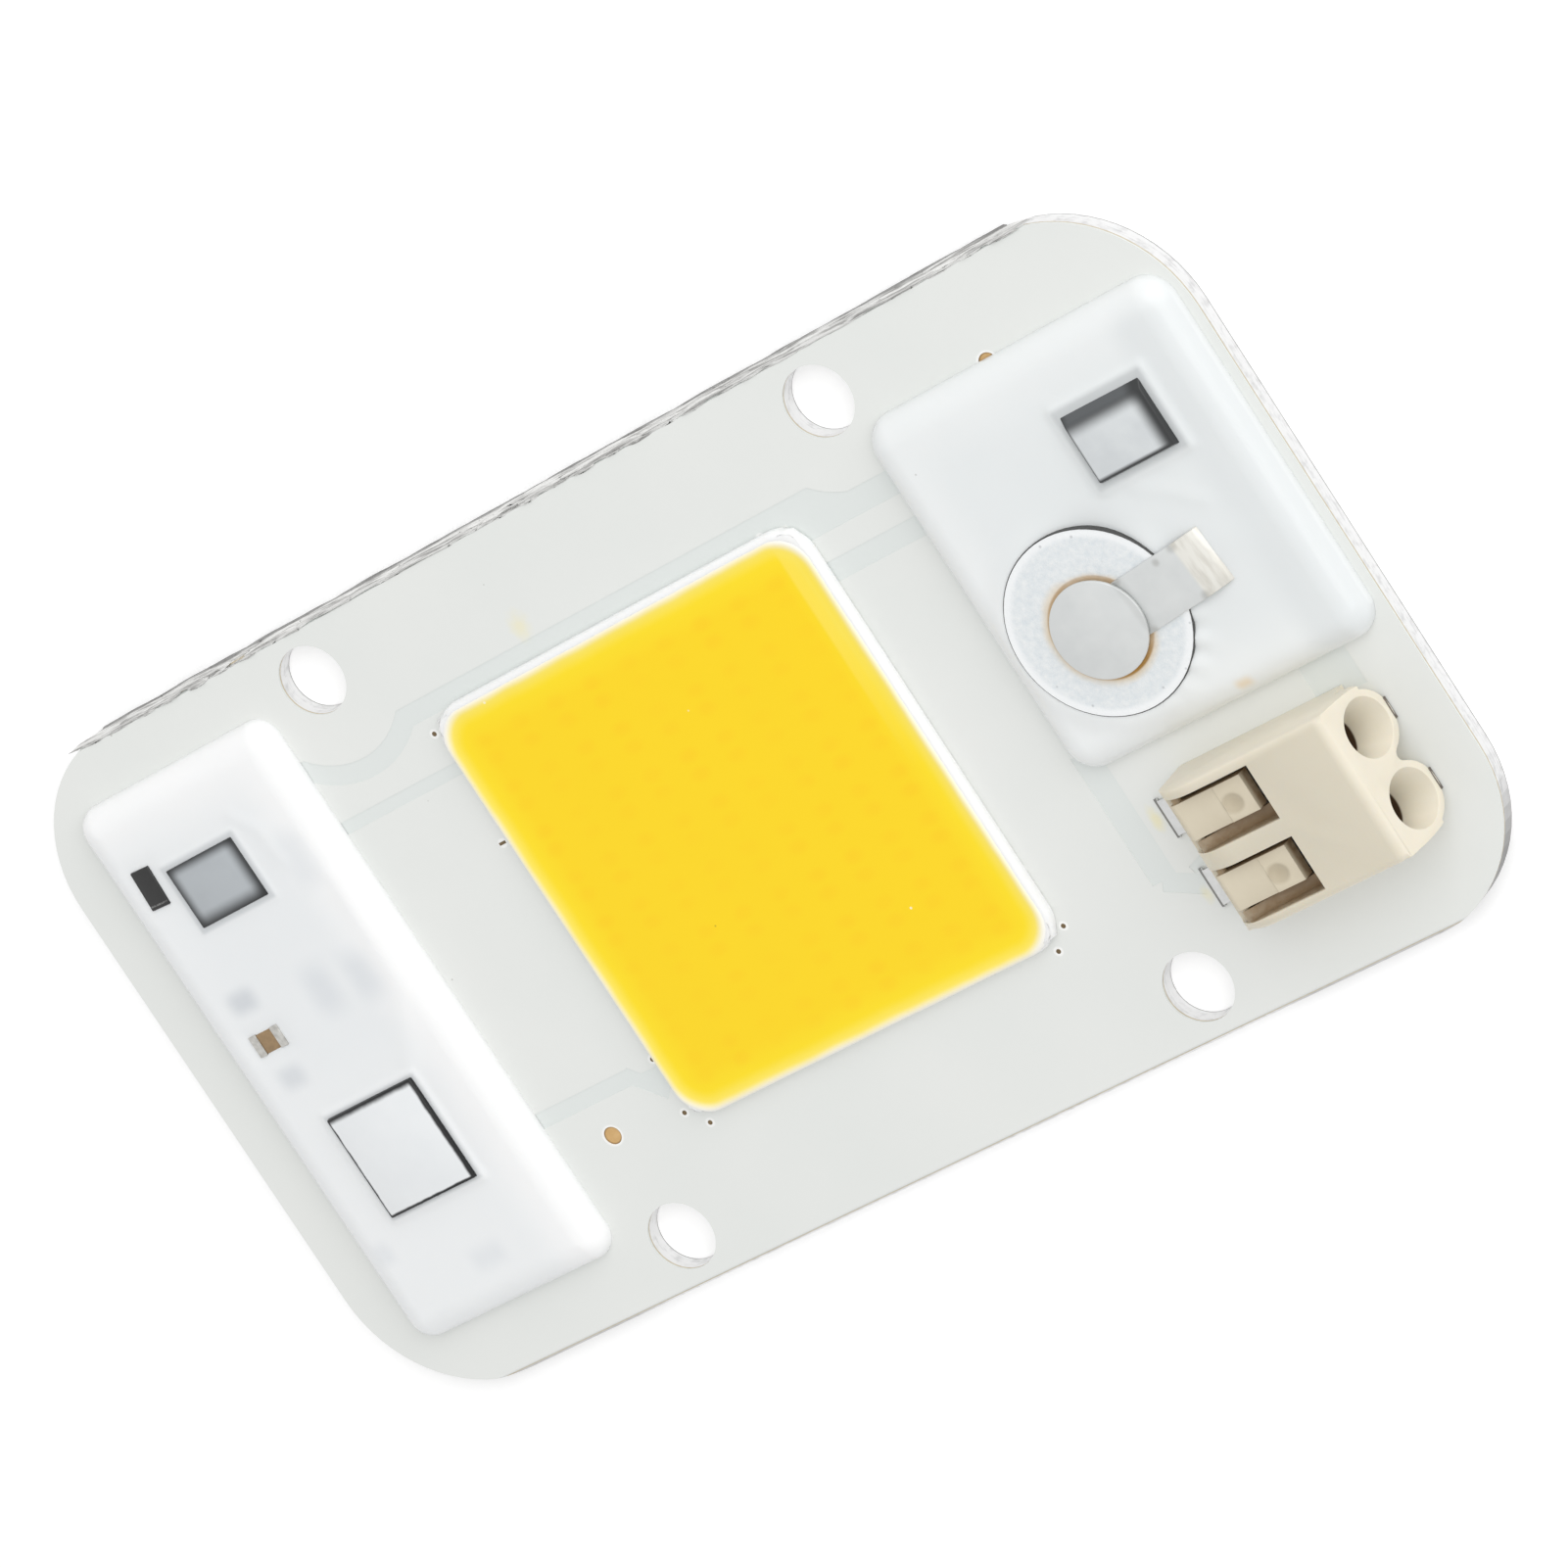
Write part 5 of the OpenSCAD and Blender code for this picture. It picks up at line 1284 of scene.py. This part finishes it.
# Painted shade on the tab ends in the gap under the collars.
flux_and_shade = add("MapRange", {"Value": along, "From Min": TAB_SHADE[0], "From Max": TAB_SHADE[1], "To Max": 0.85})
end_finish(
    add, "#C6C7C6", [(haze, "#DEDEDD"), (flux_and_shade, "#5E4F3E")], {"Metallic": 0.9, "Roughness": 0.3},
    haze, (0.3, 0.02))
for number in (1, 2):
    contact = rounded_copy(f"contact_{number}", STRIP_ROUND)
    points = read_points(contact)
    # Each tab is drawn forward a tenth of a millimetre so that its painted shade shows under its collar.
    points[points[:, 0] > TAB_FRONT - TAB_REACH, 0] += TAB_REACH
    write_points(contact, points)
    finish_piece(contact, tinned_contact)
    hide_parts(f"contact_{number}")

# Clamp springs
# One leaf of spring steel per pole, bent up from the strip so that its free end bites the wire.
# The lever's nose bows it down when it is pressed.

# Spring steel: cool grey and bright, with rolling lines an eighth of a millimetre apart.
spring_steel, add, place = begin_finish("stainless_spring_steel")
rolled = add("VectorMath", {0: place, 1: (0.5, 8.0, 2.0)}, operation="MULTIPLY")
rolled = add("TexNoise", {"Vector": rolled, "Scale": 1.0, "Detail": 3.0})
end_finish(add, "#8C8E90", [(rolled, "#B9BBBC")], {"Metallic": 1.0, "Roughness": 0.32})
for number in (1, 2):
    spring = rounded_copy(f"clamp_spring_{number}", STRIP_ROUND)
    finish_piece(spring, spring_steel)
    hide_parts(f"clamp_spring_{number}")
    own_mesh(spring)

# Release levers
# One moulded lever per pole in the same cream nylon, on two trunnions in the housing's walls, with
# a dished thumb mark at its free end. Pressing it frees the wire.

LEVER_TOP = BOARD_TOP + 3.8
LEVER_SIDE = (1.0, 1.12)
LEVER_TAPER = 0.28
LEVER_SHIFT = 0.08
LEVER_ROUND = 0.07
LEVER_PINS = (1.17, 1.9)
LEVER_SHADE_FADE = (23.2, 24.6)
THUMB_MARK = (26.71, 0.04)
THUMB_SIZE = (0.74, 0.66)

# The same nylon, a shade darker, with patchy brown painted shade on the walls below its top and on
# the trunnions, and painted shade in the thumb mark.
lever_nylon, add, place = begin_finish("cream_nylon_lever")
flow = add("TexNoise", {"Vector": place, "Scale": 0.6, "Detail": 4.0})
split = add("SeparateXYZ", {0: place}).node.outputs
# Painted shade on the walls below the top, patchy and fading out towards the rear.
below = add("MapRange", {"Value": split["Z"], "From Min": LEVER_TOP - 0.10, "From Max": LEVER_TOP - 0.45})
scuffs_and_patchy_shade = add("TexNoise", {"Vector": place, "Scale": 3.0, "Detail": 3.0})
scuffs_and_patchy_shade = add("MapRange", {"Value": scuffs_and_patchy_shade, "From Min": 0.3, "From Max": 0.7, "To Min": 0.5, "To Max": 0.95})
below = add("Math", {0: below, 1: scuffs_and_patchy_shade}, operation="MULTIPLY")
ahead = add("MapRange", {"Value": split["X"], "From Min": LEVER_SHADE_FADE[0], "From Max": LEVER_SHADE_FADE[1]})
below = add("Math", {0: below, 1: ahead}, operation="MULTIPLY")
layers = [(flow, "#DED4BE"), (below, "#9E8058")]
for y in POLES:
    # Painted shade on the trunnions.
    off_line = add("Math", {0: split["Y"], 1: y}, operation="SUBTRACT")
    off_line = add("Math", {0: off_line}, operation="ABSOLUTE")
    pin = add("MapRange", {
        "Value": off_line, "From Min": LEVER_PINS[0], "From Max": LEVER_PINS[0] + 0.02})
    near = add("Math", {0: off_line, 1: LEVER_PINS[1]}, operation="LESS_THAN")
    pin = add("Math", {0: pin, 1: near}, operation="MULTIPLY")
    # Painted shade in the dished thumb mark.
    thumb = soft_spot(add, place, (THUMB_MARK[0], y + THUMB_MARK[1]), 1.0, 0.62, 0.42, THUMB_SIZE)
    layers += [(pin, "#A08A6A"), (thumb, "#9C8E72")]
fine = add("TexNoise", {"Vector": place, "Scale": 7.0, "Detail": 2.0})
end_finish(add, "#D3C8B0", layers, {"Roughness": 0.42, "IOR": 1.53}, fine, (0.25, 0.02))
for number, y in enumerate(POLES, 1):
    lever = rounded_copy(f"release_lever_{number}", LEVER_ROUND)
    points = read_points(lever)
    aside = points[:, 1] - y
    points[(aside < -LEVER_SIDE[0]) & (aside > -LEVER_SIDE[1]), 1] += LEVER_TAPER
    points[(aside > LEVER_SIDE[0]) & (aside < LEVER_SIDE[1]), 1] += LEVER_SHIFT
    write_points(lever, points)
    finish_piece(lever, lever_nylon, body=f"lever_{number}", smooth=35)
    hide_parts(f"release_lever_{number}")

# Floor, light and camera
# The module lies on white card under one large soft lamp and an even pale room, seen from above
# its terminal end.

CARD_SIZE = 4.0
CARD_LIFT = 0.28
ROOM_LIGHT = 0.70
ROOM_SEEN = 1.0
WHITE = (1.0, 1.0, 1.0, 1.0)
LAMP_AT = (0.47, 0.24, 0.42)
LAMP_SIZE = 0.8
LAMP_POWER = 2.87
LENS = 187.63
SENSOR = 36.0
NEAREST = 0.01
CAMERA_AT = (0.224105, 0.062974, 0.332187)
CAMERA_TURN = (-26.5497, 23.2199, -36.1113)


def in_sight(add):
    """One for what the camera sees straight, in a gloss or through glass, and otherwise zero."""
    paths = add("LightPath", {}).node.outputs
    seen = add("Math", {0: paths["Is Camera Ray"], 1: paths["Is Glossy Ray"]}, operation="ADD")
    return add("Math", {0: seen, 1: paths["Is Transmission Ray"]}, operation="ADD", use_clamp=True)


# White card: matt, with a faint tooth, lifted to white for the camera alone.
white_card, add, place = begin_finish("white_card")
tooth = add("TexNoise", {"Vector": place, "Scale": 2.0, "Detail": 2.0})
colour = blend(add, "#EDEDED", [(tooth, "#F1F1F1")])
glow = add("Math", {0: in_sight(add), 1: CARD_LIFT}, operation="MULTIPLY")
card = add("BsdfDiffuse", {"Color": colour})
lift = add("Emission", {"Color": WHITE, "Strength": glow})
add("OutputMaterial", {"Surface": add("AddShader", {0: card, 1: lift})})
floor = new_piece("floor", bpy.ops.mesh.primitive_plane_add, size=CARD_SIZE)
floor.data.materials.append(white_card)

world = bpy.data.worlds.new("pale_room")
world.use_nodes = True
world.node_tree.nodes.clear()
add = partial(add_node, world.node_tree)
strength = add("MapRange", {"Value": in_sight(add), "To Min": ROOM_LIGHT, "To Max": ROOM_SEEN})
room = add("Background", {"Color": WHITE, "Strength": strength})
add("OutputWorld", {"Surface": room})
bpy.context.scene.world = world

bpy.ops.object.light_add(type="AREA", location=LAMP_AT)
lamp = bpy.context.object
lamp.name = "soft_lamp"
lamp.data.shape = "SQUARE"
lamp.data.size = LAMP_SIZE
lamp.data.energy = LAMP_POWER
lamp.rotation_euler = Vector(LAMP_AT).to_track_quat("Z", "Y").to_euler()

bpy.ops.object.camera_add(location=CAMERA_AT, rotation=[math.radians(angle) for angle in CAMERA_TURN])
camera = bpy.context.object
camera.data.lens = LENS
camera.data.sensor_width = SENSOR
camera.data.clip_start = NEAREST
bpy.context.scene.camera = camera
bpy.context.scene.view_settings.view_transform = "Standard"
